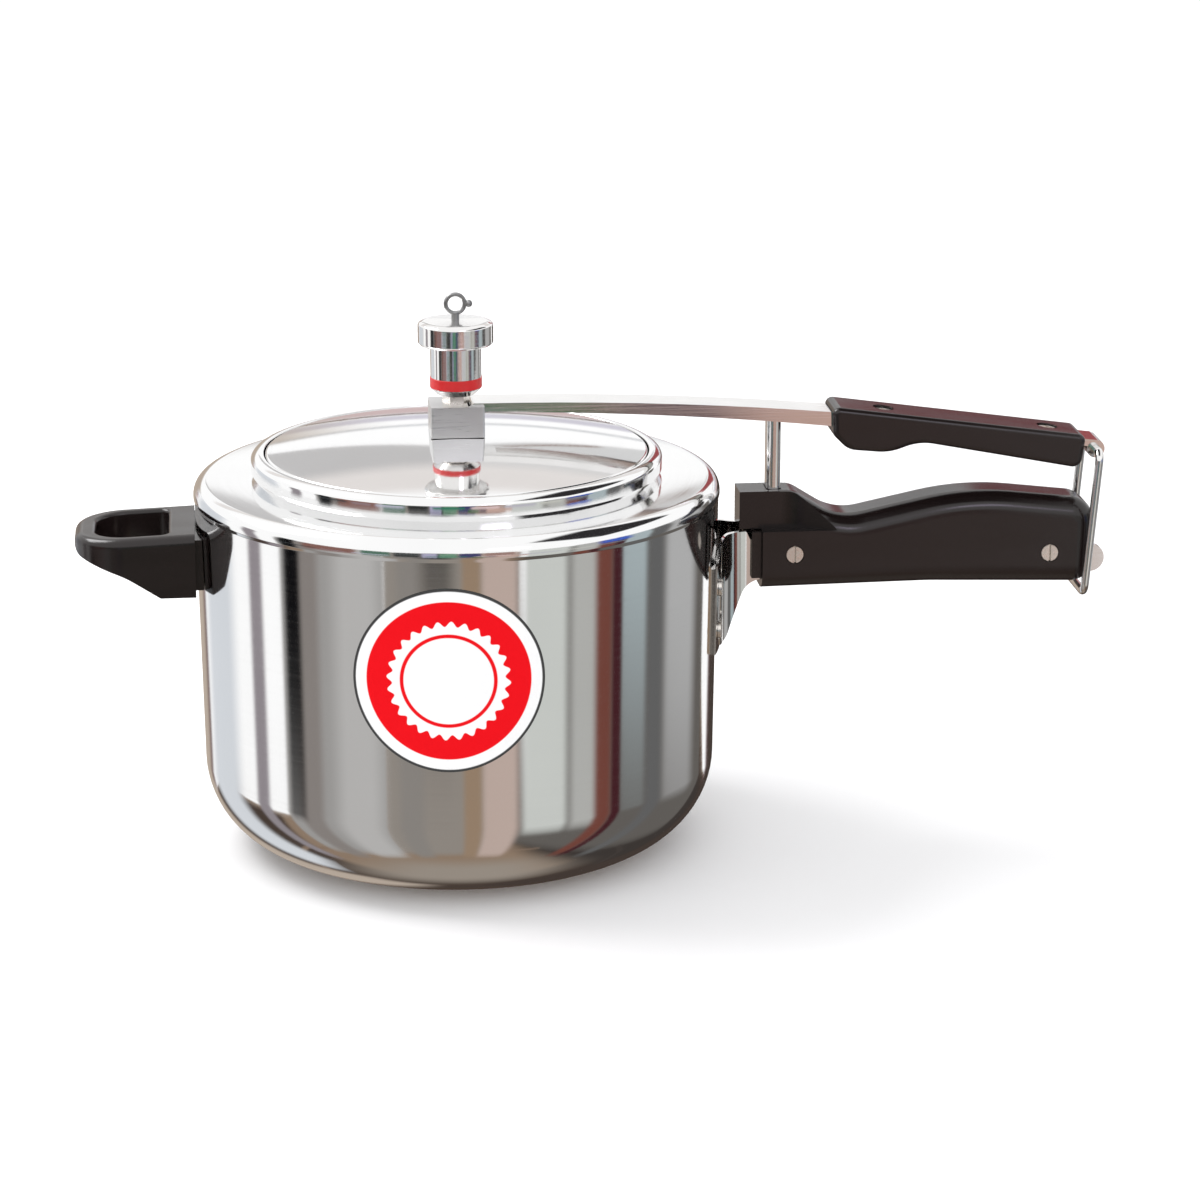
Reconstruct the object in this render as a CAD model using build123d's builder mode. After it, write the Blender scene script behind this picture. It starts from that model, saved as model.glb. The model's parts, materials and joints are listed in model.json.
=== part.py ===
from build123d import *
from math import asin, atan2, cos, degrees, radians, sin, sqrt
import os

# Stovetop pressure cooker with an inner lid. A lever pulls the lid up under the mouth, and a wire
# loop at the end of the handles holds the lever down. Millimetres, +Z up, the origin at the centre
# of the base's underside, +X towards the long handles.

os.makedirs("parts", exist_ok=True)

# Pot
pot_r = 107.6            # outside of the wall under the shoulder
pot_h = 154.0            # outer edge of the flat shoulder
pot_wall = 3.2
pot_taper = 2.2          # how much narrower the wall is at the base
base_corner_r = 37.0
shoulder_proud = 0.5     # rounded shoulder outside the wall
shoulder_roll_r = 6.0
shoulder_face_h = 0.8    # upright face under the roll
shoulder_step_h = 1.4    # sloped step between the wall and the shoulder
annulus_rise = 0.8
rim_r = 84.3             # outside of the thick rim round the mouth
rim_w = 5.3
rim_h = 10.7             # shoulder to the rim's top
rim_round_r = 4.6
rim_undercut = 1.5       # how far the rim draws in at its foot
rim_undercut_h = 2.6

# Fits
fixed_fit = 0.03         # radial, pieces that are pressed or screwed together
run_fit = 0.05           # radial, a pin that turns
slide_gap = 0.3          # between pieces that move past each other
seat_gap = 0.05          # between faces that rest on each other

# Lid and its seal
lid_t = 3.0
lid_rise = 7.0           # centre of the dome above its edge
lid_proud = 6.8          # centre of the dome above the rim
lid_edge_round_r = 1.2
mouth_gap = 0.5          # lid's skirt to the rim
gasket_gap = 0.6         # lid's skirt to the seal
gasket_w = 6.4
gasket_h = 5.4

# Lever head on the lid
block_l = 22.0
block_w = 21.0
block_h = 12.7
cheek_t = 2.3
pivot_r = 1.5
pivot_x = 7.9

# Vent tube and weight
tube_r = 3.6
tube_bore_r = 1.1
tube_tip_r = 2.6
vent_nut_af = 9.6
vent_nut_h = 3.2
barrel_r = 10.4
barrel_h = 20.6
band_h = 4.4
band_proud = 0.2
cap_r = 15.4
cap_h = 10.2
cap_crown = 0.5          # cap's middle above its bevel
cap_bevel_w = 2.2
cap_bevel_h = 1.0
eye_ring_r = 3.85
eye_wire_r = 0.85
eye_stem_h = 2.6         # cap to the eye's ring
eye_ball_r = 1.5
eye_ball_reach = 5.5     # middle of the eye to its ball

# Lever bar and lid handle
bar_w = 16.0
bar_web_t = 2.2
bar_side_t = 1.8
bar_sag_r = 1500.0       # radius of the bar's bow
tail_t = 3.0
lid_handle_w = 24.0
lid_handle_gap = 46.6    # pot wall to the lid handle
lid_handle_l = 106.6
lid_handle_rise = 26.9   # its top above the shoulder, at the pot end
lid_handle_fall = 14.5   # how much lower its top is at the far end
lid_handle_end_h = 14.2
lid_handle_belly_h = 13.5
lid_handle_belly_l = 24.0
lid_handle_edge_r = 2.2
lid_handle_recess_r = 4.4
lid_screw_r = 2.0
lid_screw_head_r = 3.6
lid_screw_l = 10.0
lid_screw_in = 22.6      # pot end of the lid handle to its first screw
lid_screw_end = 14.7     # far end of the lid handle to its last screw
knee_in = 2.8            # where the bar turns into its tail, inside the lid handle

# Fulcrum post
post_gap = 23.5          # pot wall to the middle of the post
post_w = 5.9
post_d = 9.0
post_edge_r = 2.4
foot_t = 2.0
foot_in = 5.7            # middle of the post to the foot's pot end
foot_out = 7.1

# Body handle
grip_w = 28.0
grip_l = 140.6
grip_gap = 17.8          # pot wall to the grip
grip_drop = 50.1         # shoulder down to the grip's underside
grip_edge_r = 8.4
neck_l = 4.2             # short neck between the grip and the bracket
neck_w = 23.0
neck_clear = 0.5         # bracket's upper edge to the neck
nose_w = 15.0
nose_gap = 8.8           # pot wall to the nose
nose_drop = 9.0          # shoulder down to the nose's flat top
nose_h = 15.8
nose_l = 22.7
valley_x = 32.7          # from the grip's pot end to the dip behind the nose
valley_drop = 11.9       # nose's top down to the dip
crest_x = 86.7
crest_rise = 11.4        # dip up to the crest under the palm
end_fall = 6.2           # crest down to the far end
screw_r = 2.0
screw_head_r = 3.5
nut_af = 7.0
nut_h = 3.0
catch_t = 2.5
front_screw_in = 13.5    # pot end of the grip to the front screw
front_screw_drop = 5.8   # top of the bracket's cheeks down to the front screw
rear_screw_end = 19.7    # far end of the grip to the rear screw
rear_screw_rise = 13.1   # grip's underside up to the rear screw
tongue_out = 0.5         # middle of the catch's round end past the grip
tongue_rise = 7.1

# Handle bracket
sheet_t = 2.0
cheek_y = 8.0            # middle of each cheek plate
bracket_h = 45.8
bracket_drop = 25.2      # shoulder down to the bracket's top
tang_l = 26.6            # cheeks inside the grip
tang_drop = 29.0         # shoulder down to the cheeks' top inside the grip
tang_h = 17.0
bracket_bend_r = 14.0
wing_half_angle = 18.0
wing_rivet_angle = 14.4
wing_rivet_rise = 9.0    # bracket's lower edge to its first rivets
wing_rivet_pitch = 18.0

# Locking loop
loop_wire_r = 1.7
loop_half_w = 16.2
loop_bend_r = 4.0
loop_eye_t = 2.0
loop_out = 4.8           # end of the lid handle to the loop's pivot
hook_in = 5.7            # middle of the catch's round end back to the hooked wire
hook_drop = 11.0

# Helper handle
helper_reach = 49.0
helper_half_w = 26.5
helper_round_r = 20.0
helper_top_drop = 16.5   # shoulder down to its top at the pot
helper_tip_drop = 18.4
helper_tip_h = 7.1
helper_tip_w = 8.6       # rail at the tip
helper_rail_w = 6.5      # rails at the sides
helper_arch_in = 20.0    # tip to the bend of its arched underside
helper_arch_h = 7.5
helper_foot_l = 14.3     # flat foot against the pot
helper_foot_drop = 42.3
helper_finger_gap = 11.0  # pot wall to the finger opening
helper_finger_corner_r = 4.0
helper_plate_h = 18.0
helper_plate_half_angle = 9.5
helper_pocket_d = 3.6    # recess over the plate and its rivets
helper_pocket_gap = 0.6
helper_screw_in = 9.0    # pot wall to the seat of the screw's head
helper_screw_head_h = 1.8
helper_screw_l = 8.4
helper_edge_r = 3.6
helper_lip_in = 2.4      # flat end's outline to the lip that meets the wall
helper_finger_edge_r = 1.6

# Rivets and label
rivet_r = 2.0
rivet_head_r = 3.5
rivet_head_h = 1.2
label_r = 37.4
label_t = 0.25
label_gap = 0.12
label_turn = -5.9        # degrees about the pot's axis, from straight ahead


def wall_r(z):
    """Outside radius of the tapered wall at a height."""
    return pot_r - pot_taper + pot_taper * z / (pot_h - shoulder_drop)


def shoulder_z(r):
    """Top of the flat shoulder at a radius."""
    edge_r = pot_r + shoulder_proud
    return pot_h + annulus_rise * (edge_r - r) / (edge_r - rim_r)


def wall_plane(angle, z):
    """Plane on the wall's outside, facing outwards, at an angle from +X."""
    out = Vector(cos(radians(angle)), sin(radians(angle)), 0)
    return Plane(origin=out * wall_r(z) + Vector(0, 0, z), x_dir=(0, 0, 1), z_dir=out)


def sheet_outline(points, radii, thickness):
    """Outline of a sheet of one thickness, on the left of a line with rounded corners."""
    ends = [Vector(*p) for p in points]
    ways = [(q - p).normalized() for p, q in zip(ends, ends[1:])]
    lefts = [Vector(-w.Y, w.X) * thickness for w in ways]
    other = [ends[0] + lefts[0]]
    other_radii = []
    for corner, way, next_way, left, radius in zip(ends[1:], ways, ways[1:], lefts, radii):
        turn = atan2(way.cross(next_way).Z, way.dot(next_way))
        other.append(corner + left - way * thickness * sin(turn / 2) / cos(turn / 2))
        other_radii.append(max(radius - thickness if turn > 0 else radius + thickness, 0))
    other.append(ends[-1] + lefts[-1])
    FilletPolyline(*ends, radius=radii)
    FilletPolyline(*other, radius=other_radii)
    Line(ends[0], other[0])
    Line(ends[-1], other[-1])


def rivet(angle, z, grip):
    """Rivet through the wall and a plate of the given thickness."""
    with Locations(wall_plane(angle, z)):
        with Locations((0, 0, -pot_wall - 0.1)):
            Cylinder(rivet_r, pot_wall + grip + 0.2, align=(Align.CENTER, Align.CENTER, Align.MIN))
            Cylinder(rivet_head_r, rivet_head_h, align=(Align.CENTER, Align.CENTER, Align.MAX))
        with Locations((0, 0, grip + 0.1)):
            Cylinder(rivet_head_r, rivet_head_h, align=(Align.CENTER, Align.CENTER, Align.MIN))


# Heights that follow from the pot
shoulder_drop = shoulder_roll_r + shoulder_face_h + shoulder_step_h
annulus_z = pot_h + annulus_rise
rim_z = pot_h + rim_h
mouth_r = rim_r - rim_w
lid_top_z = rim_z + lid_proud
lid_edge_r = mouth_r - mouth_gap
dome_r = (lid_edge_r ** 2 + lid_rise ** 2) / (2 * lid_rise)
gasket_r = lid_edge_r + gasket_gap
seal_z = shoulder_z(gasket_r + gasket_w) - pot_wall - 2 * seat_gap
block_z = lid_top_z + seat_gap
block_top = block_z + block_h
pivot_z = block_top - 3.1
weight_z = block_top + vent_nut_h + 0.5

base_r = pot_r - pot_taper
post_x = pot_r + post_gap
helper_x = -(pot_r + helper_reach)
helper_z = pot_h - 31.0
helper_plate_angles = (173.5, 186.5)
wing_rivet_z = pot_h - bracket_drop - bracket_h + wing_rivet_rise
main_rivets = [
    (side * wing_rivet_angle, wing_rivet_z + row * wing_rivet_pitch)
    for side in (1, -1)
    for row in (0, 1)
]

# Pot body: one pressed shell with a rounded shoulder and a thick rim round the mouth
with BuildPart() as pot_body:
    with BuildSketch(Plane.XZ):
        with BuildLine():
            sheet_outline(
                (
                    (0, 0),
                    (base_r, 0),
                    (pot_r, pot_h - shoulder_drop),
                    (pot_r + shoulder_proud, pot_h - shoulder_drop + shoulder_step_h),
                    (pot_r + shoulder_proud, pot_h),
                    (rim_r, annulus_z),
                    (mouth_r, annulus_z),
                ),
                (base_corner_r, 1.0, 1.0, shoulder_roll_r, 0),
                pot_wall,
            )
        make_face()
        with BuildLine():
            FilletPolyline(
                (mouth_r, annulus_z - pot_wall / 2),
                (rim_r - rim_undercut, annulus_z - pot_wall / 2),
                (rim_r - rim_undercut, annulus_z),
                (rim_r, annulus_z + rim_undercut_h),
                (rim_r, rim_z),
                (mouth_r, rim_z),
                radius=(0, 0, 0, 2.5, rim_round_r, 0.3),
                close=True,
            )
        make_face()
    revolve(axis=Axis.Z)
    for angle, z in main_rivets:
        with Locations(wall_plane(angle, z)):
            Cylinder(rivet_r + fixed_fit, 30, mode=Mode.SUBTRACT)
    for angle in helper_plate_angles:
        with Locations(wall_plane(angle, helper_z)):
            Cylinder(rivet_r + fixed_fit, 30, mode=Mode.SUBTRACT)
pot_body.part.label = "pot_body"
export_step(pot_body.part, "parts/pot_body.step")

# Round label on the wall
label_z = pot_h - 56.0
with BuildPart() as front_label:
    with BuildSketch(Plane.XZ):
        z_low = label_z - label_r - 5
        z_high = label_z + label_r + 5
        Polygon(
            (wall_r(z_low) + label_gap, z_low),
            (wall_r(z_low) + label_gap + label_t, z_low),
            (wall_r(z_high) + label_gap + label_t, z_high),
            (wall_r(z_high) + label_gap, z_high),
            align=None,
        )
    revolve(axis=Axis.Z)
    with Locations(wall_plane(label_turn - 90, label_z)):
        Cylinder(label_r, 60, mode=Mode.INTERSECT)
front_label.part.label = "front_label"
export_step(front_label.part, "parts/front_label.step")

# Lid: a shallow dome that fills the mouth, with a gutter for the seal under the shoulder
gutter_z = seal_z - gasket_h - seat_gap
gutter_r = gasket_r + gasket_w + 0.4
dome_cut = 0.88 * lid_edge_r
dome_mid_z = lid_top_z - dome_r
dome_cut_z = dome_mid_z + sqrt(dome_r ** 2 - dome_cut ** 2)
dome_angle = degrees(asin(dome_cut / dome_r))
dome_slope = dome_cut / sqrt(dome_r ** 2 - dome_cut ** 2)
valve_y = 36.0
valve_n = Vector(0, valve_y, sqrt(dome_r ** 2 - valve_y ** 2)).normalized()
valve_seat = Vector(0, 0, dome_mid_z) + valve_n * dome_r
valve_plane = Plane(origin=valve_seat, x_dir=(1, 0, 0), z_dir=valve_n)
valve_hole_r = 4.0
with BuildPart() as lid:
    with BuildSketch(Plane.XZ):
        with BuildLine():
            CenterArc((0, dome_mid_z), dome_r, 90 - dome_angle, dome_angle)
            CenterArc((0, dome_mid_z), dome_r - lid_t, 90 - dome_angle, dome_angle)
            Line((0, lid_top_z), (0, lid_top_z - lid_t))
            Line(
                (dome_cut, dome_cut_z),
                (dome_cut * (1 - lid_t / dome_r), dome_mid_z + (dome_cut_z - dome_mid_z) * (1 - lid_t / dome_r)),
            )
        make_face()
        with BuildLine():
            sheet_outline(
                (
                    (gutter_r, gutter_z + 3.4),
                    (gutter_r, gutter_z),
                    (lid_edge_r, gutter_z),
                    (lid_edge_r, dome_cut_z - (lid_edge_r - dome_cut) * dome_slope),
                    (dome_cut, dome_cut_z),
                ),
                (1.2, 0.4, lid_edge_round_r),
                lid_t,
            )
        make_face()
    revolve(axis=Axis.Z)
    Cylinder(tube_r + fixed_fit, 600, mode=Mode.SUBTRACT)
    with Locations(valve_plane):
        Cylinder(valve_hole_r + fixed_fit, 30, mode=Mode.SUBTRACT)
lid.part.label = "lid"
export_step(lid.part, "parts/lid.step")

# Sealing ring in the lid's gutter, with a groove that lets steam press its lips apart
with BuildPart() as gasket:
    with BuildSketch(Plane.XZ):
        with Locations((gasket_r + gasket_w / 2, seal_z - gasket_h / 2)):
            RectangleRounded(gasket_w, gasket_h, 1.0)
        with Locations((gasket_r, seal_z - gasket_h / 2)):
            SlotOverall(gasket_w, gasket_h * 0.25, mode=Mode.SUBTRACT)
    revolve(axis=Axis.Z)
gasket.part.label = "gasket"
export_step(gasket.part, "parts/gasket.step")

# Head block on the lid: the lever's end turns between its two cheeks
slot_x = tube_r + 0.75
with BuildPart() as pivot_block:
    with Locations((0, 0, block_z)):
        Box(block_l, block_w, block_h, align=(Align.CENTER, Align.CENTER, Align.MIN))
    fillet(pivot_block.edges().filter_by(Axis.Z), 1.0)
    with Locations((slot_x, 0, block_z + 5.2)):
        Box(block_l, block_w - 2 * cheek_t, block_h, align=(Align.MIN, Align.CENTER, Align.MIN),
            mode=Mode.SUBTRACT)
    Cylinder(tube_r + fixed_fit, 600, mode=Mode.SUBTRACT)
    with Locations(Plane(origin=(pivot_x, block_w / 2, pivot_z), z_dir=(0, -1, 0))):
        Cylinder(pivot_r + fixed_fit, block_w - 1.1, align=(Align.CENTER, Align.CENTER, Align.MIN),
                 mode=Mode.SUBTRACT)
pivot_block.part.label = "pivot_block"
export_step(pivot_block.part, "parts/pivot_block.step")

with BuildPart() as pivot_pin:
    with Locations(Plane(origin=(pivot_x, block_w / 2 - 0.2, pivot_z), z_dir=(0, -1, 0))):
        Cylinder(pivot_r, block_w - 1.4, align=(Align.CENTER, Align.CENTER, Align.MIN))
pivot_pin.part.label = "pivot_pin"
export_step(pivot_pin.part, "parts/pivot_pin.step")

# Vent tube: a collar under the lid, a nut on the block and a nozzle for the weight
tube_collar_h = 3.4
washer_t = 1.5
washer_r = 8.0
under_z = lid_top_z - lid_t - 0.1
tube_top = weight_z + 9.4
with BuildPart() as vent_tube:
    with BuildSketch(Plane.XZ):
        Polygon(
            (0, under_z - washer_t - tube_collar_h - 6),
            (tube_r, under_z - washer_t - tube_collar_h - 6),
            (tube_r, under_z - washer_t - tube_collar_h - seat_gap),
            (washer_r, under_z - washer_t - tube_collar_h - seat_gap),
            (washer_r, under_z - washer_t - seat_gap),
            (tube_r, under_z - washer_t - seat_gap),
            (tube_r, tube_top - 7.5),
            (tube_tip_r, tube_top - 5.5),
            (tube_tip_r, tube_top),
            (0, tube_top),
            align=None,
        )
    revolve(axis=Axis.Z)
    Cylinder(tube_bore_r, 600, mode=Mode.SUBTRACT)
    chamfer(vent_tube.edges().filter_by(GeomType.CIRCLE).sort_by(Axis.Z)[-1:], 0.5)
vent_tube.part.label = "vent_tube"
export_step(vent_tube.part, "parts/vent_tube.step")

with BuildPart() as vent_washer:
    with Locations((0, 0, under_z)):
        Cylinder(washer_r, washer_t, align=(Align.CENTER, Align.CENTER, Align.MAX))
    Cylinder(tube_r + fixed_fit, 600, mode=Mode.SUBTRACT)
vent_washer.part.label = "vent_washer"
export_step(vent_washer.part, "parts/vent_washer.step")

with BuildPart() as vent_nut:
    with BuildSketch(Plane.XY.offset(block_top)):
        RegularPolygon(vent_nut_af / 2, 6, major_radius=False)
        Circle(tube_r + fixed_fit, mode=Mode.SUBTRACT)
    extrude(amount=vent_nut_h)
vent_nut.part.label = "vent_nut"
export_step(vent_nut.part, "parts/vent_nut.step")

# Safety valve on the lid behind the block: body, sealing washer, fusible plug and nut
valve_head_h = 4.0
with BuildPart() as valve_body:
    with BuildSketch(valve_plane.offset(washer_t + 0.1)):
        RegularPolygon(6.0, 6, major_radius=False)
    extrude(amount=valve_head_h)
    with BuildSketch(valve_plane.offset(washer_t + 0.1)):
        Circle(valve_hole_r)
    extrude(amount=-(washer_t + lid_t + 5.0))
    with BuildSketch(valve_plane.offset(washer_t + valve_head_h + 0.1)):
        Circle(1.8)
    extrude(amount=-30, mode=Mode.SUBTRACT)
valve_body.part.label = "valve_body"
export_step(valve_body.part, "parts/valve_body.step")

with BuildPart() as valve_washer:
    with BuildSketch(valve_plane.offset(0.08)):
        Circle(6.6)
        Circle(valve_hole_r + fixed_fit, mode=Mode.SUBTRACT)
    extrude(amount=washer_t)
valve_washer.part.label = "valve_washer"
export_step(valve_washer.part, "parts/valve_washer.step")

with BuildPart() as valve_plug:
    with BuildSketch(valve_plane.offset(washer_t + valve_head_h + 0.1)):
        Circle(1.8 - fixed_fit)
    extrude(amount=-valve_head_h)
valve_plug.part.label = "valve_plug"
export_step(valve_plug.part, "parts/valve_plug.step")

with BuildPart() as valve_nut:
    with BuildSketch(valve_plane.offset(-lid_t - 0.1)):
        RegularPolygon(6.0, 6, major_radius=False)
        Circle(valve_hole_r + fixed_fit, mode=Mode.SUBTRACT)
    extrude(amount=-3.4)
valve_nut.part.label = "valve_nut"
export_step(valve_nut.part, "parts/valve_nut.step")

# Pressure weight: barrel with a coloured band, a wider cap, a needle on the nozzle and a lifting eye
band_z = weight_z + 2.8
cap_z = weight_z + barrel_h
needle_r = 2.4
spigot_r = 6.0
spigot_h = 5.0
with BuildPart() as weight_barrel:
    with BuildSketch(Plane.XZ):
        Polygon(
            (0, weight_z),
            (barrel_r - 2.8, weight_z),
            (barrel_r, band_z - 0.2),
            (barrel_r, cap_z - 0.05),
            (spigot_r, cap_z - 0.05),
            (spigot_r, cap_z + spigot_h),
            (0, cap_z + spigot_h),
            align=None,
        )
        with Locations((barrel_r, band_z + band_h / 2)):
            Rectangle(1.2, band_h, mode=Mode.SUBTRACT)
    revolve(axis=Axis.Z)
    with Locations((0, 0, weight_z)):
        Cylinder(tube_r + 1.4, tube_top - weight_z + 1.0, align=(Align.CENTER, Align.CENTER, Align.MIN),
                 mode=Mode.SUBTRACT)
        Cylinder(needle_r + fixed_fit, barrel_h - 2.0, align=(Align.CENTER, Align.CENTER, Align.MIN),
                 mode=Mode.SUBTRACT)
weight_barrel.part.label = "weight_barrel"
export_step(weight_barrel.part, "parts/weight_barrel.step")

with BuildPart() as weight_band:
    with BuildSketch(Plane.XZ):
        with Locations((barrel_r - 0.6 + fixed_fit, band_z + fixed_fit)):
            Rectangle(0.6 + band_proud, band_h - 2 * fixed_fit, align=(Align.MIN, Align.MIN))
    revolve(axis=Axis.Z)
    fillet(weight_band.edges().filter_by(GeomType.CIRCLE).sort_by(SortBy.RADIUS)[-2:], 0.3)
weight_band.part.label = "weight_band"
export_step(weight_band.part, "parts/weight_band.step")

with BuildPart() as weight_cap:
    with BuildSketch(Plane.XZ):
        with BuildLine():
            FilletPolyline(
                (0, cap_z),
                (cap_r - 1.0, cap_z),
                (cap_r, cap_z + 1.0),
                (cap_r, cap_z + cap_h - cap_crown - cap_bevel_h),
                (cap_r - cap_bevel_w, cap_z + cap_h - cap_crown),
                (0, cap_z + cap_h),
                radius=(0.5, 0.5, 1.2, 3.0),
            )
            Line((0, cap_z + cap_h), (0, cap_z))
        make_face()
    revolve(axis=Axis.Z)
    with Locations((0, 0, cap_z)):
        Cylinder(spigot_r + fixed_fit, spigot_h + 0.1, align=(Align.CENTER, Align.CENTER, Align.MIN),
                 mode=Mode.SUBTRACT)
    Cylinder(1.6 + fixed_fit, 600, mode=Mode.SUBTRACT)
weight_cap.part.label = "weight_cap"
export_step(weight_cap.part, "parts/weight_cap.step")

with BuildPart() as weight_needle:
    with BuildSketch(Plane.XZ):
        Polygon(
            (0, tube_top - 0.75),
            (1.5, tube_top + 0.75),
            (needle_r, tube_top + 0.75),
            (needle_r, weight_z + barrel_h - 2.1),
            (0, weight_z + barrel_h - 2.1),
            align=None,
        )
    revolve(axis=Axis.Z)
weight_needle.part.label = "weight_needle"
export_step(weight_needle.part, "parts/weight_needle.step")

cap_top = cap_z + cap_h
eye_z = cap_top + eye_stem_h + eye_ring_r
with BuildPart() as lifting_eye:
    with Locations((0, 0, cap_z + spigot_h + 0.1)):
        Cylinder(1.6, eye_z - eye_ring_r - cap_z - spigot_h, align=(Align.CENTER, Align.CENTER, Align.MIN))
    with Locations(Plane(origin=(0, 0, eye_z), z_dir=(0, -1, 0))):
        Torus(eye_ring_r, eye_wire_r)
    with Locations(Plane(origin=(eye_ring_r, 0, eye_z), z_dir=(1, 0, 0))):
        Cylinder(eye_wire_r, eye_ball_reach - eye_ring_r, align=(Align.CENTER, Align.CENTER, Align.MIN))
    with Locations((eye_ball_reach, 0, eye_z)):
        Sphere(eye_ball_r)
lifting_eye.part.label = "lifting_eye"
export_step(lifting_eye.part, "parts/lifting_eye.step")

# Lever bar: a bowed channel from the lid's head block to a flat tail with a rolled eye
bar_top_z = block_top + 1.05
bar_x0 = pivot_x - 2.9
lid_handle_x0 = pot_r + lid_handle_gap
lid_handle_x1 = lid_handle_x0 + lid_handle_l
knee_x = lid_handle_x0 + knee_in
loop_x = lid_handle_x1 + loop_out
loop_z = pot_h + 5.8
loop_eye_r = loop_wire_r + run_fit + loop_eye_t


def bar_top(x):
    """Top of the bowed bar."""
    return bar_top_z - (x - pivot_x) ** 2 / (2 * bar_sag_r)


def bar_foot(x):
    """Lower edge of the bar's sides, which get deeper towards the handle."""
    return bar_top(x) - 3.7 - (x - pivot_x) * 0.0155


tail_slope = (loop_z + loop_eye_r - bar_top(knee_x)) / (loop_x - knee_x)
tail_up = Vector(-tail_slope, 0, 1).normalized()


def tail_top(x):
    """Top of the straight tail inside the lid handle."""
    return bar_top(knee_x) + tail_slope * (x - knee_x)


def tail_plane(x):
    """Plane on the tail's top face."""
    return Plane(origin=(x, 0, tail_top(x)), x_dir=(0, 1, 0), z_dir=tail_up)


lid_screw_xs = (lid_handle_x0 + lid_screw_in, lid_handle_x1 - lid_screw_end)
bar_mid_x = (bar_x0 + knee_x) / 2
channel_x = pivot_x + 9.0
with BuildPart() as lever_bar:
    with BuildSketch(Plane.XZ):
        with BuildLine():
            Line((bar_x0, bar_foot(bar_x0)), (bar_x0, bar_top_z - 2.5))
            ThreePointArc(
                (bar_x0, bar_top_z - 2.5),
                (bar_x0 + 2.5 - 2.5 * cos(radians(45)), bar_top_z - 2.5 + 2.5 * sin(radians(45))),
                (bar_x0 + 2.5, bar_top_z),
            )
            ThreePointArc(
                (bar_x0 + 2.5, bar_top_z),
                (bar_mid_x, bar_top(bar_mid_x)),
                (knee_x, bar_top(knee_x)),
            )
            Polyline(
                (knee_x, bar_top(knee_x)),
                (loop_x, tail_top(loop_x)),
                (loop_x, tail_top(loop_x) - tail_t),
                (knee_x + 15, tail_top(knee_x + 15) - tail_t),
                (knee_x, bar_foot(knee_x)),
            )
            ThreePointArc(
                (knee_x, bar_foot(knee_x)),
                (bar_mid_x, bar_foot(bar_mid_x)),
                (bar_x0, bar_foot(bar_x0)),
            )
        make_face()
        with Locations((pivot_x, pivot_z)):
            Circle(3.1)
        with Locations((loop_x, loop_z)):
            Circle(loop_eye_r)
        with Locations((pivot_x, pivot_z)):
            Circle(pivot_r + run_fit, mode=Mode.SUBTRACT)
        with Locations((loop_x, loop_z)):
            Circle(loop_wire_r + run_fit, mode=Mode.SUBTRACT)
    extrude(amount=bar_w / 2, both=True)
    with BuildSketch(Plane.XZ):
        with BuildLine():
            ThreePointArc(
                (channel_x, bar_top(channel_x) - bar_web_t),
                ((channel_x + knee_x) / 2, bar_top((channel_x + knee_x) / 2) - bar_web_t),
                (knee_x, bar_top(knee_x) - bar_web_t),
            )
            Polyline(
                (knee_x, bar_top(knee_x) - bar_web_t),
                (knee_x, bar_foot(knee_x) - 5),
                (channel_x, bar_foot(knee_x) - 5),
                (channel_x, bar_top(channel_x) - bar_web_t),
            )
        make_face()
    extrude(amount=bar_w / 2 - bar_side_t, both=True, mode=Mode.SUBTRACT)
    for x in lid_screw_xs:
        with Locations(tail_plane(x)):
            Cylinder(lid_screw_r + fixed_fit, 12, mode=Mode.SUBTRACT)
lever_bar.part.label = "lever_bar"
export_step(lever_bar.part, "parts/lever_bar.step")

# Lid handle, moulded round the tail of the bar
slot_gap = 0.2
lid_handle_z0 = pot_h + lid_handle_rise
lid_handle_z1 = lid_handle_z0 - lid_handle_fall
with BuildPart() as lid_handle:
    with BuildSketch(Plane.XZ):
        with BuildLine():
            FilletPolyline(
                (lid_handle_x0, lid_handle_z0),
                (lid_handle_x1, lid_handle_z1),
                (lid_handle_x1 - 1.9, lid_handle_z1 - lid_handle_end_h),
                (lid_handle_x0 + lid_handle_belly_l + 12.5, lid_handle_z0 - 2.1 - lid_handle_belly_h),
                (lid_handle_x0 + lid_handle_belly_l, lid_handle_z0 - 6.5 - lid_handle_belly_h),
                (lid_handle_x0 + 6.8, lid_handle_z0 - 4.8 - lid_handle_belly_h),
                (lid_handle_x0 + 0.4, lid_handle_z0 - 11.9),
                radius=(3.0, 3.0, 4.0, 22.0, 22.0, 9.0, 4.0),
                close=True,
            )
        make_face()
    extrude(amount=lid_handle_w / 2, both=True)
    fillet(lid_handle.faces().filter_by(Axis.Y).edges(), lid_handle_edge_r)
    with BuildSketch(Plane.XZ):
        Polygon(
            (knee_x - 6, tail_top(knee_x - 6) + slot_gap),
            (loop_x, tail_top(loop_x) + slot_gap),
            (loop_x, tail_top(loop_x) - tail_t - slot_gap),
            (knee_x + 16, tail_top(knee_x + 16) - tail_t - slot_gap),
            (knee_x, bar_foot(knee_x) - slot_gap),
            (knee_x - 6, bar_foot(knee_x - 6) - slot_gap),
            align=None,
        )
    extrude(amount=bar_w / 2 + slot_gap, both=True, mode=Mode.SUBTRACT)
    with Locations(Plane(origin=(loop_x, 0, loop_z), z_dir=(0, 1, 0))):
        Cylinder(loop_eye_r + slide_gap, bar_w + 2 * slot_gap, mode=Mode.SUBTRACT)
    for x in lid_screw_xs:
        with Locations(tail_plane(x)):
            Cylinder(lid_handle_recess_r, 20, align=(Align.CENTER, Align.CENTER, Align.MIN),
                     mode=Mode.SUBTRACT)
            Cylinder(lid_screw_r + fixed_fit, lid_screw_l + 0.2, mode=Mode.SUBTRACT,
                     align=(Align.CENTER, Align.CENTER, Align.MAX))
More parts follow.
